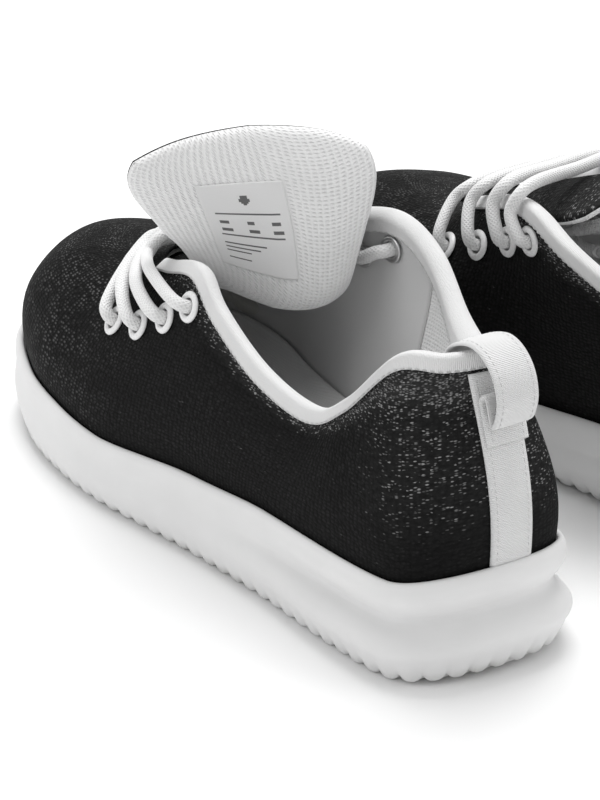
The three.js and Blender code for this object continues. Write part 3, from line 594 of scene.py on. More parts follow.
def sheet_mesh(outer, inner, uv, wraps=False):
    """A closed sheet between two grids (columns, rows, 3); uv is (columns + 1, rows, 2)."""
    width, height = outer.shape[:2]
    columns = width if wraps else width - 1
    rows = height - 1
    front, places = quads(columns, rows, wraps)
    back, back_places = quads(columns, rows, wraps, flip=True)
    half = width * height
    faces = [front, back + half]
    corners = [places, back_places]

    def wall(a, b):
        """Faces between the two grids along an edge given as (index, place) pairs."""
        ia, pa = a
        ib, pb = b
        faces.append(np.stack([ib, ia, ia + half, ib + half], 1))
        corners.append(np.stack([pb, pa, pa, pb], 1))

    i = np.arange(columns)
    for row, turned in ((0, False), (rows, True)):
        here = ((i % width) * height + row, i * height + row)
        there = (((i + 1) % width) * height + row, (i + 1) * height + row)
        wall(*((there, here) if turned else (here, there)))
    if not wraps:
        j = np.arange(rows)
        for column, turned in ((0, True), (columns, False)):
            here = (column * height + j, column * height + j)
            there = (column * height + j + 1, column * height + j + 1)
            wall(*((there, here) if turned else (here, there)))
    points = np.concatenate([outer.reshape(-1, 3), inner.reshape(-1, 3)])
    faces = np.concatenate(faces)
    flat = uv.reshape(-1, 2)[np.concatenate(corners)]
    if signed_volume(points, faces) < 0:
        faces = faces[:, ::-1]
        flat = flat[:, ::-1]
    return points, faces, flat


def signed_volume(points, faces):
    a, b, c, d = (points[faces[:, k]] for k in range(4))
    return float((a * np.cross(b, c)).sum() + (a * np.cross(c, d)).sum())


def wrap_uv(grid, wraps=False):
    """Coordinates along a grid's surface, in metres: across its columns and up its rows."""
    closed = np.concatenate([grid, grid[:1]]) if wraps else grid
    across = np.linalg.norm(np.diff(closed, axis=0), axis=2).mean(1)
    up = np.linalg.norm(np.diff(grid, axis=1), axis=2)
    up = np.concatenate([up, up[:1]]) if wraps else up
    x = np.concatenate([[0], np.cumsum(across)])
    y = np.concatenate([np.zeros((len(up), 1)), np.cumsum(up, axis=1)], axis=1)
    return np.stack([np.repeat(x[:, None], y.shape[1], 1), y], -1) * MM


def add_tube(shoe, name, line, radius_x, radius_y, paint, slot):
    """A closed tube along a line, carried round bends without twist."""
    sides = 20
    side = np.array([1.0, 0, 0])
    rings = []
    angle = np.arange(sides) / sides * 2 * math.pi
    for point, d in zip(line, unit(np.gradient(line, axis=0))):
        side = side - d * (side @ d)
        side = side / np.linalg.norm(side)
        other = np.cross(d, side)
        rings.append(point + radius_x * np.cos(angle)[:, None] * side
                     + radius_y * np.sin(angle)[:, None] * other)
    count = len(line)
    around = np.arange(sides + 1) / sides * math.pi * (radius_x + radius_y)
    uv = np.stack(np.meshgrid(around, distance(line), indexing="ij"), -1) * MM
    quad, places = quads(sides, count - 1, True)
    points = np.concatenate([np.array(rings).transpose(1, 0, 2).reshape(-1, 3),
                             line[[0, count - 1]]])
    i = np.arange(sides)
    after = (i + 1) % sides
    centre = np.full(sides, sides * count)
    start = np.stack([centre, after * count, i * count], 1)
    end = np.stack([i * count + count - 1, after * count + count - 1, centre + 1], 1)
    blank = np.zeros((sides, 3, 2))
    made = shoe.piece(name, points, [quad, start, end], paint, slot,
                      [uv.reshape(-1, 2)[places], blank, blank])
    shoe.stand_for(made, name)
    return made


# ---- sole --------------------
def outline_pairs(shell, step):
    """Places u on the lateral and the medial side at the same distances along the shoe."""
    fine = np.linspace(0, 12, 2401)
    xy = loop_at(shell.feet, fine)
    length = distance(xy)
    count = int(length[-1] / step)
    lateral = np.interp(np.linspace(0, length[-1], count + 1), length, fine)
    other = np.linspace(24, 12, 2401)
    medial_y = np.maximum.accumulate(loop_at(shell.feet, other)[:, 1])
    y = loop_at(shell.feet, lateral)[:, 1]
    medial = np.interp(y, medial_y, other)
    medial[0] = 24
    medial[-1] = 12
    return lateral, medial


def sole_wall(shell, u, along):
    """Points down the outside of the sole at places u: (levels, places, 3)."""
    foot = shell.foot(u)
    out = shell.foot_normal(u)
    floor = sole_bottom(foot[:, 1])
    tall = foot[:, 2] - floor
    heel = smooth(-foot[:, 1], 0.04 * SOLE_LENGTH, 0.36 * SOLE_LENGTH)
    arch = (smooth(foot[:, 0], 10, 25) * smooth(foot[:, 1], -70, -35)
            * (1 - smooth(foot[:, 1], 5, 35)))
    lug = np.abs(np.sin(math.pi * along / LUG_PITCH))
    notch = (1 - lug) ** 1.5

    def place(offset, height):
        return foot * [1, 1, 0] + out * offset[:, None] + [0, 0, 1] * (floor + height)[:, None]

    none = np.zeros_like(heel)
    rows = [
        place(none + 0.35, tall - 1.6),
        place(none + 0.45, tall - 0.5),
        place(none + 1.0, tall + 0.1),
        place(none + 2.1, tall),
        place(none + 3.0, tall * 0.965),
        place(none + 3.5 + 0.1 * heel, tall * 0.9),
        place(3.5 - 0.2 * heel, tall * 0.8),
        place(3.4 - 2.2 * heel - 0.3 * arch, tall * 0.69),
        place(3.6 - 4.3 * heel - 0.9 * arch, tall * 0.6),
        place(3.9 - 0.9 * heel - 1.4 * arch, tall * 0.5),
        place(4.2 + 1.5 * heel - 2 * arch, tall * 0.4),
        place(4.1 + 1.8 * heel - 2.6 * arch, tall * 0.31),
        place(3.6 + 0.5 * heel - 3.6 * arch - 0.25 * notch, tall * 0.2 + 0.2 * notch),
        place(2.7 - 0.1 * heel - 4.6 * arch - 0.6 * notch, tall * 0.09 + 0.9 * notch),
        place(1.5 - 0.2 * heel - 5 * arch - 0.8 * notch, 0.7 + 1.6 * notch),
        place(-0.4 - 5 * arch - 0.5 * notch, 0 + 1.9 * notch),
    ]
    return open_at(np.array(rows), np.linspace(0, 1, 46))


def build_sole(shoe):
    """The sole: its two walls, the grooved underside and the bed, as one closed loop."""
    shell = shoe.shell
    lateral, medial = outline_pairs(shell, SOLE_STEP)
    walls = []
    for u in (lateral, medial):
        walls.append(sole_wall(shell, u, distance(loop_at(shell.feet, u))))
    left, right = walls
    across = np.linspace(0, 1, 25)[1:-1]
    low_a, low_b = left[-1], right[-1]
    width = np.linalg.norm(low_b - low_a, axis=1)
    bottom = []
    for t in across:
        row = low_a * (1 - t) + low_b * t
        edge = np.minimum(t, 1 - t) * width
        fade = smooth(edge, 2, 16)
        tread = np.abs(np.sin(math.pi * row[:, 1] / TREAD_PITCH))
        channel = (1 - tread) ** 2 * TREAD_DEPTH + 1.2 * smooth(1.8 - np.abs(row[:, 0] - 4), 0, 1)
        flat = sole_bottom(row[:, 1])
        ends = smooth(width, 10, 30)
        row[:, 2] = row[:, 2] * (1 - fade) + fade * (flat + channel * ends)
        bottom.append(row)
    high_a, high_b = left[0], right[0]
    bed = []
    for t in np.linspace(1, 0, 9)[1:-1]:
        row = high_a * (1 - t) + high_b * t
        row[:, 2] -= (BED_DEPTH + GAP - 1.6) * smooth(np.minimum(t, 1 - t), 0, 0.1)
        bed.append(row)
    loop = np.concatenate([left, np.array(bottom), right[::-1], np.array(bed)])
    # 1 within a few millimetres of the floor, falling to 0 above: the foam is drawn darker there.
    near_floor = 1 - smooth(loop[..., 2] - sole_bottom(loop[..., 1]), 0.3, 5)
    loop_piece(shoe, "sole", loop, "foam", "sole_foam", {"near_floor": near_floor})


def loop_piece(shoe, name, loop, paint, slot, values=None):
    """A closed piece from loops round its section: (places round, places along, 3)."""
    points = loop.reshape(-1, 3)
    plan = np.concatenate([loop, loop[:1]])[..., :2].reshape(-1, 2) * MM
    faces, places = quads(loop.shape[0], loop.shape[1] - 1, True)
    if signed_volume(points, faces) < 0:
        faces, places = faces[:, ::-1], places[:, ::-1]
    made = shoe.piece(name, points, faces, paint, slot, plan[places], values)
    weld(made)
    shoe.stand_for(made, name)


def weld(made):
    """Joins points that lie on each other, and drops the faces that this empties."""
    near = 0.02 * MM
    work = bmesh.new()
    work.from_mesh(made.data)
    bmesh.ops.remove_doubles(work, verts=work.verts, dist=near)
    bmesh.ops.dissolve_degenerate(work, dist=near * 0.5, edges=work.edges)
    work.to_mesh(made.data)
    work.free()
    made.data.update()


# ---- layers of the upper --------------------
def eyelet_list(shoe):
    """Every eyelet's name, side and row, its middle on the skin and the way it faces."""
    found = []
    for side, places in EYELET_PLACES.items():
        for row, (u, v) in enumerate(places):
            found.append({"name": f"eyelet_{side}_{row + 1}", "side": side, "row": row,
                          "point": shoe.shell.skin(u, v), "out": shoe.shell.normal(u, v)})
    return found


def punch(shoe, made):
    """Cuts the eyelet holes through a layer."""
    work = bmesh.new()
    for eyelet in shoe.eyelets:
        centre = shoe.to_row(eyelet["point"] - 2 * eyelet["out"])
        out = unit(shoe.rotation @ eyelet["out"])
        spin = Vector((0, 0, 1)).rotation_difference(Vector(out)).to_matrix().to_4x4()
        bmesh.ops.create_cone(work, cap_ends=True, segments=32, depth=14 * MM,
                              radius1=(EYELET_HOLE + EYELET_WALL) * MM,
                              radius2=(EYELET_HOLE + EYELET_WALL) * MM,
                              matrix=Matrix.Translation(Vector(centre)) @ spin)
    data = bpy.data.meshes.new("drills")
    work.to_mesh(data)
    work.free()
    drills = bpy.data.objects.new("drills", data)
    bpy.context.scene.collection.objects.link(drills)
    cut = made.modifiers.new("holes", "BOOLEAN")
    cut.operation = "DIFFERENCE"
    cut.solver = "EXACT"
    cut.object = drills
    bpy.context.view_layer.update()
    result = bpy.data.meshes.new_from_object(
        made.evaluated_get(bpy.context.evaluated_depsgraph_get()))
    made.modifiers.clear()
    made.data = result
    bpy.data.objects.remove(drills)


def layer(shoe, name, us, vs, outer_depth, inner_depth, paint, slot, wraps=False, values=None):
    """A layer of the upper between two depths, each a number or a function of u and v."""
    u, v = np.meshgrid(us, vs, indexing="ij")
    depth = [f(u, v) if callable(f) else np.full(u.shape, float(f))
             for f in (outer_depth, inner_depth)]
    outer = shoe.shell.at(u, v, depth[0])
    inner = shoe.shell.at(u, v, depth[1])
    points, faces, uv = sheet_mesh(outer, inner, wrap_uv(outer, wraps), wraps)
    if values is not None:
        values = {key: np.tile(f(u, v).ravel(), 2) for key, f in values.items()}
    made = shoe.piece(name, points, faces, paint, slot, uv, values)
    shoe.stand_for(made, name)
    return made


def painted_shine(u, v):
    """How thick the painted highlights lie, as silvery glints and a faint sheen: along the collar's edge and round
    the heel.
    """
    u = (u + 12) % 24 - 12
    back = 1 - smooth(np.abs(u), 5.0, 8.5)
    edge = smooth(v, 0.74, 0.95) * (0.34 + 0.66 * back)
    heel = (1 - smooth(np.abs(u), 1.6, 3.4)) * 0.42 * smooth(v, -0.1, 0.5)
    return np.clip(edge + heel - 0.12, 0, 0.85)


def toe_dots_and_highlight(u, v):
    """Where the dark grey dots show: over the toes, where they are partly a painted highlight on the toe's top;
    faintly elsewhere.
    """
    u = (u + 12) % 24 - 12
    return smooth(np.abs(u), 7.2, 9.6) * (1 - 0.4 * smooth(v, 0.75, 0.95)) + 0.12


def build_upper(shoe):
    """The knit and the two linings, from the foot's edge to the opening."""
    rows = np.concatenate([[-1, -0.5], np.linspace(0, 1, 56)])
    # The shine map is painted light: silvery glints and a faint sheen by the collar and heel. The vamp map sets
    # where the toe dots show, painted lighter on the toe's top as a highlight.
    upper = layer(shoe, "upper", np.arange(0, RIB_COUNT, 0.08), rows, 0, UPPER_THICK,
                  "knit", "knit", True, {"painted_shine": painted_shine, "vamp": toe_dots_and_highlight})
    punch(shoe, upper)
    board_height = 1.5
    foot = -1 + board_height / BED_DEPTH
    rows = np.concatenate([[foot, foot / 2], np.linspace(0, LINING_TOP, 40)])
    vamp = layer(shoe, "vamp_lining", np.linspace(4.93, 19.07, 150), rows, LINING_AT, LINING_END,
                 "lining", "lining_cloth")
    punch(shoe, vamp)
    layer(shoe, "collar_lining", np.linspace(-COLLAR_SEAM, COLLAR_SEAM, 150), rows, collar_lining,
          lambda u, v: collar_lining(u, v) + LINING_THICK, "mesh", "mesh_lining")


# ---- binding --------------------
def build_binding(shoe):
    """A puffy tape folded over the edge, from throat to throat."""
    shell = shoe.shell
    u = np.linspace(-8.5, 8.5, 340)
    leg = np.array([4.4, 4.1, 3.3, 2.3, 1.3, 0.5])
    bulge = 1.75
    lift = TAPE_GAP + BINDING_THICK / 2

    def lining_end(v):
        padded = np.abs(u) < COLLAR_SEAM + 0.05
        return np.where(padded, collar_lining(u, v) + LINING_THICK, LINING_END)

    n = shell.normal(u, LINING_TOP)
    up = shell.up(u)
    span = np.linalg.norm(shell.skin(u, 1.0) - shell.skin(u, 0.9), axis=1) / 0.1
    middle = [shell.at(u, 1 - d / span, -lift) for d in leg]
    away = [n for _ in leg]
    top_out = shell.at(u, 1.0, -lift)
    top_in = shell.at(u, LINING_TOP, lining_end(LINING_TOP) + lift)
    centre = (top_out + top_in) / 2
    half = (top_out - top_in) / 2
    for angle in np.linspace(0, math.pi, 11):
        middle.append(centre + half * math.cos(angle) + up * bulge * math.sin(angle))
        away.append(unit(unit(half) * math.cos(angle) + up * math.sin(angle)))
    for d in leg[::-1]:
        v = LINING_TOP - d / span
        middle.append(shell.at(u, v, lining_end(v) + lift))
        away.append(-n)
    middle = np.array(middle).transpose(1, 0, 2)
    away = np.array(away).transpose(1, 0, 2)
    rows = middle.shape[1]
    edge = np.minimum(np.arange(rows), np.arange(rows)[::-1])
    size = np.interp(edge, [0, 1, 2], [0.45, 0.9, 1.0])[None, :, None] * BINDING_THICK / 2
    outer = middle + away * size
    inner = middle - away * size
    points, faces, uv = sheet_mesh(outer, inner, wrap_uv(outer))
    made = shoe.piece("collar_binding", points, faces, "binding", "white_tape", uv)
    shoe.stand_for(made, "collar_binding")
    for side, row in (("outer", 1), ("inner", rows - 2)):
        line = middle[:, row] + away[:, row] * (BINDING_THICK / 2 + 0.05)
        stitches(shoe, f"binding_stitches_{side}", line, away[:, row], **BINDING_STITCH)


def stitches(shoe, name, line, normals, pitch, long, radius):
    """A row of small stitches along a line, each a short rounded bead lying on the surface."""
    sides = 6
    # Each ring's place along the stitch and its share of the radius.
    rounds = ((-0.5, 0.35), (-0.35, 0.9), (0, 1.15), (0.35, 0.9), (0.5, 0.35))
    length = distance(line)
    centres = np.arange(pitch, length[-1] - pitch / 2, pitch)
    at = between(centres, length, line)
    n = unit(between(centres, length, normals))
    along = unit(between(centres + 0.5, length, line) - at)
    side = unit(np.cross(along, n))
    angle = np.arange(sides) / sides * 2 * math.pi
    rings = []
    for t, size in rounds:
        rings.append(at[:, None] + along[:, None] * t * long - n[:, None] * (1 - size) * radius
                     + size * radius * (np.cos(angle)[None, :, None] * side[:, None]
                                        + np.sin(angle)[None, :, None] * n[:, None]))
    points = np.array(rings).transpose(1, 0, 2, 3).reshape(-1, 3)
    bead = []
    for base in range(0, sides * (len(rounds) - 1), sides):
        for s in range(sides):
            a, b = base + s, base + (s + 1) % sides
            bead.append((a, b, b + sides, a + sides))
    for end, order in ((0, -1), (sides * (len(rounds) - 1), 1)):
        ring = [end + s for s in range(sides)][::order]
        bead.append(ring[:4])
        bead.append((ring[0], *ring[3:]))
    starts = np.arange(len(centres)) * sides * len(rounds)
    faces = (starts[:, None, None] + np.array(bead)).reshape(-1, 4)
    if signed_volume(points, faces) < 0:
        faces = faces[:, ::-1]
    uv = np.zeros((len(faces), 4, 2))
    uv[:, 1:3, 0] = 1.5 * MM
    shoe.piece(name, points, faces, "thread", "white_tape", uv)


# ---- heel strip and pull tab --------------------
def build_strip(shoe):
    """The tape up the heel. Each point's u is searched so that the tape is evenly wide."""
    shell = shoe.shell
    vs = np.linspace(0.0, 0.93, 80)
    xs = np.linspace(-STRAP_WIDTH / 2, STRAP_WIDTH / 2, 17)
    x, v = np.meshgrid(xs, vs, indexing="ij")
    u = -x / 20
    for _ in range(12):
        here = shell.skin(u, v)[..., 0]
        slope = (shell.skin(u + 0.01, v)[..., 0] - here) / 0.01
        u = u + np.clip((x - here) / slope, -0.3, 0.3)
    side = np.abs(x) / (STRAP_WIDTH / 2)
    thick = STRAP_THICK * (1 - 0.55 * smooth(side, 0.86, 1.0))
    lift = 0.12
    inner = shell.at(u, v, -lift)
    outer = shell.at(u, v, -lift - thick)
    points, faces, uv = sheet_mesh(outer, inner, wrap_uv(outer))
    made = shoe.piece("heel_strip", points, faces, "strap", "white_tape", uv)
    shoe.stand_for(made, "heel_strip")
    for k, name in ((2, "lateral"), (14, "medial")):
        stitches(shoe, f"strip_stitches_{name}", outer[k], shell.normal(u[k], v[k]),
                 **STRAP_STITCH)


def tab_line(shell):
    """The pull tab's middle line, as in the CAD source."""
    def deep(v):
        return shell.at(0.0, v, collar_lining(0.0, v) + LINING_THICK + TAPE_GAP)

    share = (LINING_TOP - 0.76) / 0.24
    inner = deep(0.76) * (1 - share) + deep(1.0) * share
    inner_down = unit(deep(0.76) - inner)
    n = shell.normal(0.0, LINING_TOP)
    over = shell.at(0.0, 1.0, -TAPE_GAP)
    off = STRIP_GAP + GAP + STRAP_THICK * 1.5

    def heel(v):
        return shell.at(0.0, v, -off)

    def tuck(down):
        return inner + inner_down * down - n * (0.9 + GAP + STRAP_THICK / 2 + 3.4)

    return np.array([
        heel(0.6), heel(0.68), heel(0.76), heel(0.82), heel(0.86) + [0, -3, -0.5],
        over + [0, -13, -19.5], over + [0, -16, -11.5], over + [0, -13.5, -2],
        over + [0, -7, 3.6], over + [0, 1, 4.6], tuck(-4.2), tuck(0.5), tuck(6)])


def even_line(points, step):
    """Centripetal Catmull-Rom curve through points, at even steps along its length."""
    points = np.asarray(points, float)
    full = np.concatenate([[2 * points[0] - points[1]], points, [2 * points[-1] - points[-2]]])
    out = []
    for i in range(len(points) - 1):
        p = full[i:i + 4]
        steps = np.sqrt(np.linalg.norm(np.diff(p, axis=0), axis=1))
        t = np.concatenate([[0], np.cumsum(steps)])
        x = np.linspace(t[1], t[2], 30, endpoint=i == len(points) - 2)[:, None]
        a = [(t[k + 1] - x) / (t[k + 1] - t[k]) * p[k] + (x - t[k]) / (t[k + 1] - t[k]) * p[k + 1]
             for k in range(3)]
        b = [(t[k + 2] - x) / (t[k + 2] - t[k]) * a[k] + (x - t[k]) / (t[k + 2] - t[k]) * a[k + 1]
             for k in range(2)]
        out.append((t[2] - x) / (t[2] - t[1]) * b[0] + (x - t[1]) / (t[2] - t[1]) * b[1])
    fine = np.concatenate(out)
    length = distance(fine)
    return between(np.linspace(0, length[-1], int(length[-1] / step)), length, fine)


def build_tab(shoe):
    """The pull tab: a tape along its middle line, a little hollow towards the heel."""
    line = even_line(tab_line(shoe.shell), 0.8)
    along = unit(np.gradient(line, axis=0))
    n = np.stack([np.zeros(len(line)), -along[:, 2], along[:, 1]], 1)
    xs = np.linspace(-STRAP_WIDTH / 2, STRAP_WIDTH / 2, 17)
    side = np.abs(xs) / (STRAP_WIDTH / 2)
    thick = STRAP_THICK * (1 - 0.5 * smooth(side, 0.86, 1.0))
    cup = 0.35 * side ** 2
    outer, inner = (line[None] + xs[:, None, None] * np.array([1, 0, 0])
                    + n[None] * (sign * thick / 2 - cup)[:, None, None] for sign in (1, -1))
    points, faces, uv = sheet_mesh(outer, inner, wrap_uv(outer))
    made = shoe.piece("pull_tab", points, faces, "strap", "white_tape", uv)
    shoe.stand_for(made, "pull_tab")
    for k, name in ((2, "lateral"), (14, "medial")):
        stitches(shoe, f"tab_stitches_{name}", outer[k], n, **STRAP_STITCH)


# ---- tongue --------------------
# Points up the tongue's edges and middle, standing up or lying under the lace.
RAISED = {
    "outer": [(-18, 58, 64), (-15, 45.5, 72.5), (-11.5, 36, 83), (-16.5, 35, 92.5),
              (-26, 36.5, 103), (-35, 37, 115), (-39, 37, 128)],
    "middle": [(0, 64, 72.4), (1, 47, 74), (2, 25, 76), (3, 1, 80), (3, 1, 96), (2, 9, 117),
               (0, 18, 138)],
    "inner": [(18, 58, 64), (20, 40, 70.5), (21.5, 18, 75.5), (22.5, -4, 81), (27, -9, 97),
              (34, -8, 115), (38, -3, 132)],
}
LYING = {
    "outer": [(-18, 58, 64), (-18, 36, 74), (-18, 15, 82), (-18.5, -5, 92), (-23, -28, 103)],
    "middle": [(0, 64, 72.4), (0, 42, 81.5), (0, 20, 91.5), (0, -4, 102), (0, -32, 113)],
    "inner": [(18, 58, 64), (19, 36, 74), (21, 15, 83), (25, -5, 94), (30, -28, 104)],
}


class Tongue:
    """The tongue's middle surface: a runs across it from -1 to 1, b up it from 0 to 1."""

    def __init__(self, raised):
        self.columns = RAISED if raised else LYING

    def at(self, a, b):
        left, mid, right = (open_at(self.columns[k], b) for k in ("outer", "middle", "inner"))
        a = np.asarray(a, float)[..., None]
        low = np.maximum(-a, 0)
        high = np.maximum(a, 0)
        chord = left * low + right * high + mid * (1 - low - high)
        round_form = left * (a * a - a) / 2 + right * (a * a + a) / 2 + mid * (1 - a * a)
        return 0.25 * chord + 0.75 * round_form

    def normal(self, a, b):
        e = 0.02
        across = self.at(a + e, b) - self.at(a - e, b)
        along = self.at(a, np.minimum(b + e, 1)) - self.at(a, np.maximum(b - e, 0))
        return unit(np.cross(along, across))

    @staticmethod
    def half(a, b):
        """Half the padding's thickness."""
        side = 1 - np.abs(a) ** 3 * 0.75
        end = smooth(b, 0, 0.35) * (1 - 0.6 * smooth(b, 0.88, 1))
        return (0.4 + (TONGUE_PADDING - 0.4) * side * (0.15 + 0.85 * end)) / 2


def tongue_grid():
    """A grid over the tongue, even in i and j, whose top corners are rounded in a and b."""
    i, j = np.meshgrid(np.linspace(-1, 1, 61), np.linspace(0, 1, 71), indexing="ij")
    b = j * (1 - 0.03 * np.abs(i) ** 6)
    round_off = np.clip((b - 0.87) / 0.13, 0, 1)
    a = i * (1 - 0.24 * (1 - np.sqrt(1 - 0.93 * round_off ** 2)))
    return a, b, i, j


def build_tongue(shoe):
    """The padded lining, thinner at its edges, the knit shell over it and the label on it."""
    tongue = Tongue(shoe.raised)
    a, b, i, j = tongue_grid()
    mid = tongue.at(a, b)
    n = tongue.normal(a, b)
    half = tongue.half(a, b)
    rim = np.minimum((1 - np.abs(i)) * TONGUE_WIDTH / 2, (1 - j) * TONGUE_LENGTH)
    roll_in = np.sqrt(np.clip(1 - (1 - np.clip(rim / TONGUE_EDGE, 0, 1)) ** 2, 0, 1))
    back = mid + n * (half * (0.3 + 0.7 * roll_in) - 0.1)[..., None]
    front = mid - n * ((half + GAP + 1.3) * (0.25 + 0.75 * roll_in))[..., None]
    points, faces, uv = sheet_mesh(back, front, wrap_uv(front))
    pad = shoe.piece("tongue_lining", points, faces, "tongue_mesh", "mesh_lining", uv,
                     body=shoe.tongue)
    shoe.stand_for(pad, "tongue_lining", "tongue_foam")
    puff(pad, PUFF_CAP)
    outer = mid + n * (half + GAP + 1.1)[..., None] * (0.45 + 0.55 * roll_in)[..., None]
    inner = mid + n * ((half + GAP) * (0.3 + 0.7 * roll_in))[..., None]
    outer[..., 0] += 0.02 * (outer - mid)[..., 0]
    points, faces, uv = sheet_mesh(outer, inner, wrap_uv(outer))
    # Painted highlight on the tongue: glints and sheen growing towards its top; the toe dots at half strength.
    values = {"painted_shine": np.tile((0.1 + 0.3 * smooth(j, 0.75, 1)).ravel(), 2),
              "vamp": np.full(j.size * 2, 0.5)}
    knit = shoe.piece("tongue_shell", points, faces, "knit", "knit", uv, values, body=shoe.tongue)
    shoe.stand_for(knit, "tongue_shell")
    build_label(shoe, tongue, pad)


def puff(made, cap):
    """Swells a closed piece as filled cloth, by at most cap millimetres, and keeps the result."""
    frames = 16
    stiffness = 18
    scene = bpy.context.scene
    rest = np.array([v.co for v in made.data.vertices])
    cloth = made.modifiers.new("cloth", "CLOTH")
    settings = cloth.settings
    settings.use_pressure = True
    settings.uniform_pressure_force = 4.0
    settings.effector_weights.gravity = 0
    settings.tension_stiffness = stiffness
    settings.compression_stiffness = stiffness
    settings.bending_stiffness = 2
    settings.quality = 4
    cloth.point_cache.frame_start = 1
    cloth.point_cache.frame_end = frames
    scene.frame_start = 1
    scene.frame_end = frames
    for number in range(1, frames + 1):
        scene.frame_set(number)
    graph = bpy.context.evaluated_depsgraph_get()
    swollen = made.evaluated_get(graph).to_mesh()
    result = np.array([v.co for v in swollen.vertices])
    made.evaluated_get(graph).to_mesh_clear()
    made.modifiers.remove(cloth)
    scene.frame_set(1)
    move = result - rest
    far = np.linalg.norm(move, axis=1, keepdims=True)
    move *= np.minimum(1, cap * MM / np.maximum(far, 1e-9))
    made.data.vertices.foreach_set("co", (rest + move).ravel())
    made.data.update()


def build_label(shoe, tongue, pad):
    """A small woven label with plain rules and bars, lying on the tongue's lining."""
    columns, rows = 48, 60
    foot, height = 0.6, 0.26
    aside = 0.2 if shoe.raised else 0
    away = 25
    s, t = np.meshgrid(np.linspace(0, 1, columns + 1), np.linspace(0, 1, rows + 1), indexing="ij")
    a = (s * 2 - 1) / 3 - aside
    b = foot + t * height
    mid = tongue.at(a, b)
    n = tongue.normal(a, b)
    tree = BVHTree.FromPolygons([v.co for v in pad.data.vertices],
                                [tuple(p.vertices) for p in pad.data.polygons])
    start = shoe.to_row(mid - n * away)
    aim = unit(n @ shoe.rotation.T)
    back = np.zeros(s.shape)
    for index in np.ndindex(s.shape):
        hit = tree.ray_cast(Vector(start[index]), Vector(aim[index]))
        back[index] = hit[3] / MM if hit[3] is not None else away - 3
    outer = mid - n * (away - back + 0.75)[..., None]
    inner = mid - n * (away - back + 0.2)[..., None]
    points, faces, uv = sheet_mesh(outer, inner, wrap_uv(outer))
    marks = np.zeros(len(faces), int)
    front = columns * rows
    x = np.repeat((np.arange(columns) + 0.5) / columns, rows)
    y = np.tile((np.arange(rows) + 0.5) / rows, columns)

    def mark(x0, x1, y0, y1):
        marks[:front][(x > x0) & (x < x1) & (y > y0) & (y < y1)] = 1

    mark(0.12, 0.88, 0.665, 0.68)
    mark(0.12, 0.88, 0.44, 0.455)
    for k in range(3):
        mark(0.15 + 0.3 * k, 0.25 + 0.3 * k, 0.57, 0.6)
        mark(0.15 + 0.3 * k, 0.28 + 0.3 * k, 0.49, 0.52)
    for k, wide in enumerate((0.5, 0.42, 0.3)):
        mark(0.12, 0.12 + wide, 0.34 - 0.055 * k, 0.355 - 0.055 * k)
    mark(0.12, 0.4, 0.13, 0.15)
    marks[:front][(x - 0.5) ** 2 + ((y - 0.82) * 1.1) ** 2 < 0.055 ** 2] = 1
    made = shoe.piece("size_label", points, faces, "label ink", "label", uv, marks=marks,
                      body=shoe.tongue)
    shoe.stand_for(made, "size_label")


# ---- eyelets --------------------
def build_eyelets(shoe):
    """Eyelets turned from one profile (radius, height): enamelled outside, bare inside."""
    inner = -(LINING_END + 1.2)
    barrel = EYELET_HOLE + EYELET_WALL
    top = FLANGE_LIFT + 0.9
    profile = np.array([
        (EYELET_HOLE, inner - 0.45), (EYELET_HOLE + 0.3, inner - 0.62), (barrel + 0.7, inner - 0.66),
        (barrel + 1.2, inner - 0.4), (barrel + 1.2, inner - 0.1), (barrel + 0.2, inner),
        (barrel, inner + 0.2), (barrel, 0.1), (barrel + 0.3, 0.05),
        (EYELET_FLANGE - 0.3, 0.05), (EYELET_FLANGE, 0.35), (EYELET_FLANGE - 0.2, 0.85),
        (EYELET_FLANGE - 0.9, top - 0.15), (EYELET_FLANGE - 1.6, top),
        (EYELET_HOLE + 0.5, top - 0.1), (EYELET_HOLE + 0.05, top - 0.6)])
    sides, count = 40, len(profile)
    enamelled = range(7, count - 1)
    angle = np.arange(sides) / sides * 2 * math.pi
    s, k = (grid.ravel() for grid in np.meshgrid(np.arange(sides), np.arange(count), indexing="ij"))
    after, below = (s + 1) % sides * count, (k + 1) % count
    rings = np.stack([s * count + k, s * count + below, after + below, after + k], 1)
    marks = np.where(np.isin(k, enamelled), 0, 1)
    for eyelet in shoe.eyelets:
        out = eyelet["out"]
        x = unit(np.cross(out, [0.3, 0.2, 1.0]))
        y = np.cross(out, x)
        points = (eyelet["point"] + profile[None, :, 0:1]
                  * (np.cos(angle)[:, None, None] * x + np.sin(angle)[:, None, None] * y)
                  + profile[None, :, 1:2] * out).reshape(-1, 3)
        faces = rings[:, ::-1] if signed_volume(points, rings) < 0 else rings
        made = shoe.piece(eyelet["name"], points, faces, "enamel steel", "eyelet_metal",
                          np.zeros((len(faces), 4, 2)), marks=marks)
        shoe.stand_for(made, eyelet["name"])


# ---- lace --------------------
# Places u where the raised tongue's lace crosses the throat's edge, row by row.
LACING = {"lateral": [10.2, 9.8, 9.45, 9.12], "medial": [14.0, 14.45, 14.85, 15.2]}


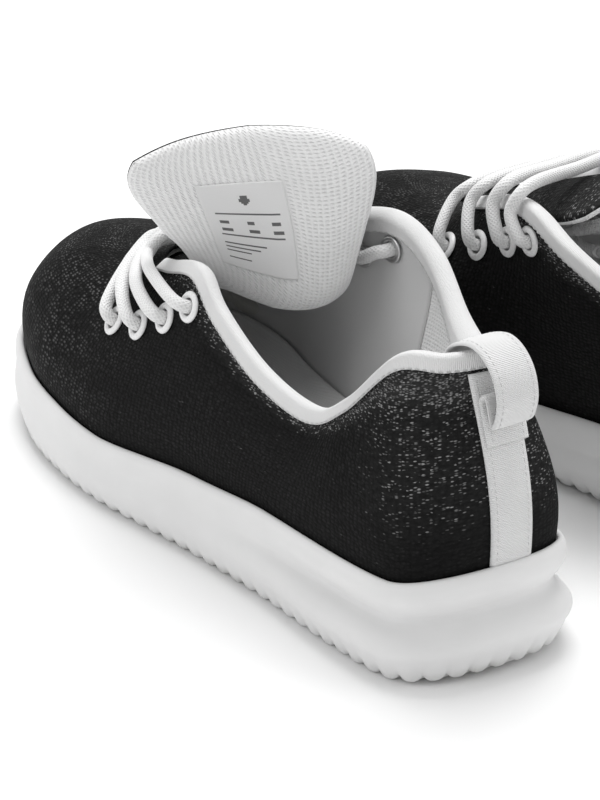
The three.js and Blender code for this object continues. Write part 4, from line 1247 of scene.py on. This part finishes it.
def lace_route(shoe):
    """The lace's points, as in the CAD source: straight bars from eyelet to eyelet."""
    shell = shoe.shell
    r = LACE_DIAMETER / 2
    above_rest = FLANGE_LIFT + 0.9
    below_rest = LINING_END + 1.8

    def find(side, row):
        return next(e for e in shoe.eyelets if e["side"] == side and e["row"] == row)

    def leave(e, target, above):
        """Where the cord leaves an eyelet towards a target, above or below the layers."""
        sign = 1 if above else -1
        rest = above_rest if above else below_rest
        d = target - e["point"]
        d = unit(d - e["out"] * (d @ e["out"]))
        return [e["point"] + e["out"] * sign * lift + d * away for lift, away in
                ((rest - 0.2, 0), (rest + 1.9, 0.9), (rest + r + 0.7, 4))]

    def over_facing(e):
        """From an eyelet over the facing to above the throat's edge."""
        side, row = e["side"], e["row"]
        place, height = EYELET_PLACES[side][row]
        step = 0.35 if side == "lateral" else -0.35
        u = LACING[side][row] if shoe.raised else place + step
        stack = 2.2 * (row % 2) if shoe.raised else 0
        top = shell.skin(u, 1.0) + shell.normal(u, LINING_TOP) * 1.2 + [0, 0, r + 3 + stack]

        def ride(share, lift):
            return shell.at(place + (u - place) * share, height + (0.97 - height) * share, -lift)

        far = shoe.raised and row > 0
        first = ride(0.4 if far else 0.5, r + 3.3)
        path = leave(e, first, True)
        if far:
            path += [first, ride(0.7, r + 3.2)]
        return path + [ride(0.94, r + 3.2), top]

    def inward(e):
        return e["point"] - e["out"] * 10

    start = find("lateral", 0)
    end = inward(start) + [5, -26, 3]
    route = [end, inward(start) + [3, -14, 1]] + leave(start, end, False)[::-1]
    for row in range(4):
        order = ["lateral", "medial"] if row % 2 == 0 else ["medial", "lateral"]
        first, second = (find(side, row) for side in order)
        there = over_facing(first)
        back = over_facing(second)[::-1]
        middle = (there[-1] + back[0]) / 2
        middle[2] = 87 + 2 * (row % 2) if shoe.raised else middle[2] + 1
        if shoe.raised:
            middle[1] = 57.5 - 4.9 * row
        route += there + [middle] + back
        if row < 3:
            after = find(order[1], row + 1)
            route += leave(second, after["point"], False)
            route += leave(after, second["point"], False)[::-1]
        else:
            tail = inward(second) + [2, 26, -14]
            route += leave(second, tail, False) + [inward(second) + [2, 14, -8], tail]
    return np.array(route)


def build_lace(shoe):
    line = even_line(lace_route(shoe), 0.9)
    r = LACE_DIAMETER / 2
    made = add_tube(shoe, "lace", line, r * 1.06, r * 0.94, "lace", "lace_cord")
    for name, end, before in (("aglet_lower", line[0], line[3]), ("aglet_upper", line[-1], line[-4])):
        path = end + unit(end - before) * (GAP + np.linspace(0, AGLET_LENGTH, 22))[:, None]
        add_tube(shoe, name, path, r * 0.72, r * 0.72, "tip", "lace_tip")
    row_line = shoe.to_row(line)


# ---- insole --------------------
def build_insole(shoe):
    shell = shoe.shell
    lateral, medial = outline_pairs(shell, 2.0)
    inset = LINING_END + GAP

    def edge(u, more, rise):
        foot = shell.foot(u) - shell.foot_normal(u) * (inset + more)
        foot[:, 2] = rim_height(foot[:, 1]) - BED_DEPTH + 1.5 + rise
        return foot

    rows = []
    for more, rise in ((0, 0), (0, 4), (0.3, 6.4), (1.2, 7.5), (2.6, 6.9), (5, 5.2), (8.5, 4.4)):
        rows.append((edge(lateral, more, rise), edge(medial, more, rise)))
    left = np.array([row[0] for row in rows])
    right = np.array([row[1] for row in rows])
    top = [left[-1] * (1 - t) + right[-1] * t for t in np.linspace(0, 1, 25)[1:-1]]
    under = [left[0] * (1 - t) + right[0] * t for t in np.linspace(1, 0, 9)[1:-1]]
    loop = np.concatenate([left, np.array(top), right[::-1], np.array(under)])
    loop_piece(shoe, "insole", loop, "insole", "insole_cloth")


# ---- camera --------------------
CAMERA_PLACE = (-0.7416, -1.0241, 0.6479)
LOOKS_DOWN = 26.11
TURNED_RIGHT = 33.77

lens = bpy.data.cameras.new("camera")
lens.lens = 180
lens.sensor_width = 36
camera = bpy.data.objects.new("camera", lens)
bpy.context.scene.collection.objects.link(camera)
camera.location = CAMERA_PLACE
camera.rotation_euler = (math.radians(90 - LOOKS_DOWN), 0, math.radians(-TURNED_RIGHT))
lens.clip_end = 50
bpy.context.scene.camera = camera

# ---- the pair --------------------
for shoe in (Shoe("left", 0.0, True), Shoe("right", 0.12, False)):
    shoe.eyelets = eyelet_list(shoe)
    build_lace(shoe)
    build_sole(shoe)
    build_upper(shoe)
    build_binding(shoe)
    build_strip(shoe)
    build_tab(shoe)
    build_tongue(shoe)
    build_eyelets(shoe)
    build_insole(shoe)

# Nothing is drawn in place of the CAD nodes deep inside: each gets its slot's material.
for name, node in frame["nodes"].items():
    if not node.hide_render:
        slot = next(row["material_slot"] for row in frame["record"]["subparts"]
                    if row["node"] == name)
        node.data.materials.clear()
        node.data.materials.append(PAINTS[slot])

# ---- floor and light --------------------
FAR = 6
floor_mesh = bpy.data.meshes.new("floor")
floor_mesh.from_pydata([(-FAR, -FAR, 0), (FAR, -FAR, 0), (FAR, FAR, 0), (-FAR, FAR, 0)], [],
                       [(0, 1, 2, 3)])
floor = bpy.data.objects.new("floor", floor_mesh)
bpy.context.scene.collection.objects.link(floor)
floor_paint = Paint("floor", roughness=1.0)
floor_paint.set("Base Color", grey(0.93))
floor_paint.set("Specular IOR Level", 0.0)
floor_mesh.materials.append(floor_paint.material)


def area_light(name, place, target, size, power):
    data = bpy.data.lights.new(name, "AREA")
    data.shape = "RECTANGLE"
    data.size, data.size_y = size
    data.energy = power
    made = bpy.data.objects.new(name, data)
    made.location = place
    made.rotation_mode = "QUATERNION"
    made.rotation_quaternion = (Vector(target) - Vector(place)).to_track_quat("-Z", "Y")
    bpy.context.scene.collection.objects.link(made)


area_light("key", (0.3, 0.5, 1.5), (0, 0, 0.05), (1.2, 1.2), 24)
area_light("left_fill", (-1.4, 0.1, 0.8), (0, 0, 0.05), (1.0, 1.0), 4)
area_light("back_rim", (1.0, -1.1, 0.9), (0, -0.05, 0.06), (0.8, 0.8), 5)

world = bpy.data.worlds.new("world")
world.use_nodes = True
world.node_tree.nodes["Background"].inputs["Color"].default_value = (1, 1, 1, 1)
world.node_tree.nodes["Background"].inputs["Strength"].default_value = 0.52
bpy.context.scene.world = world
bpy.context.scene.view_settings.view_transform = "Standard"
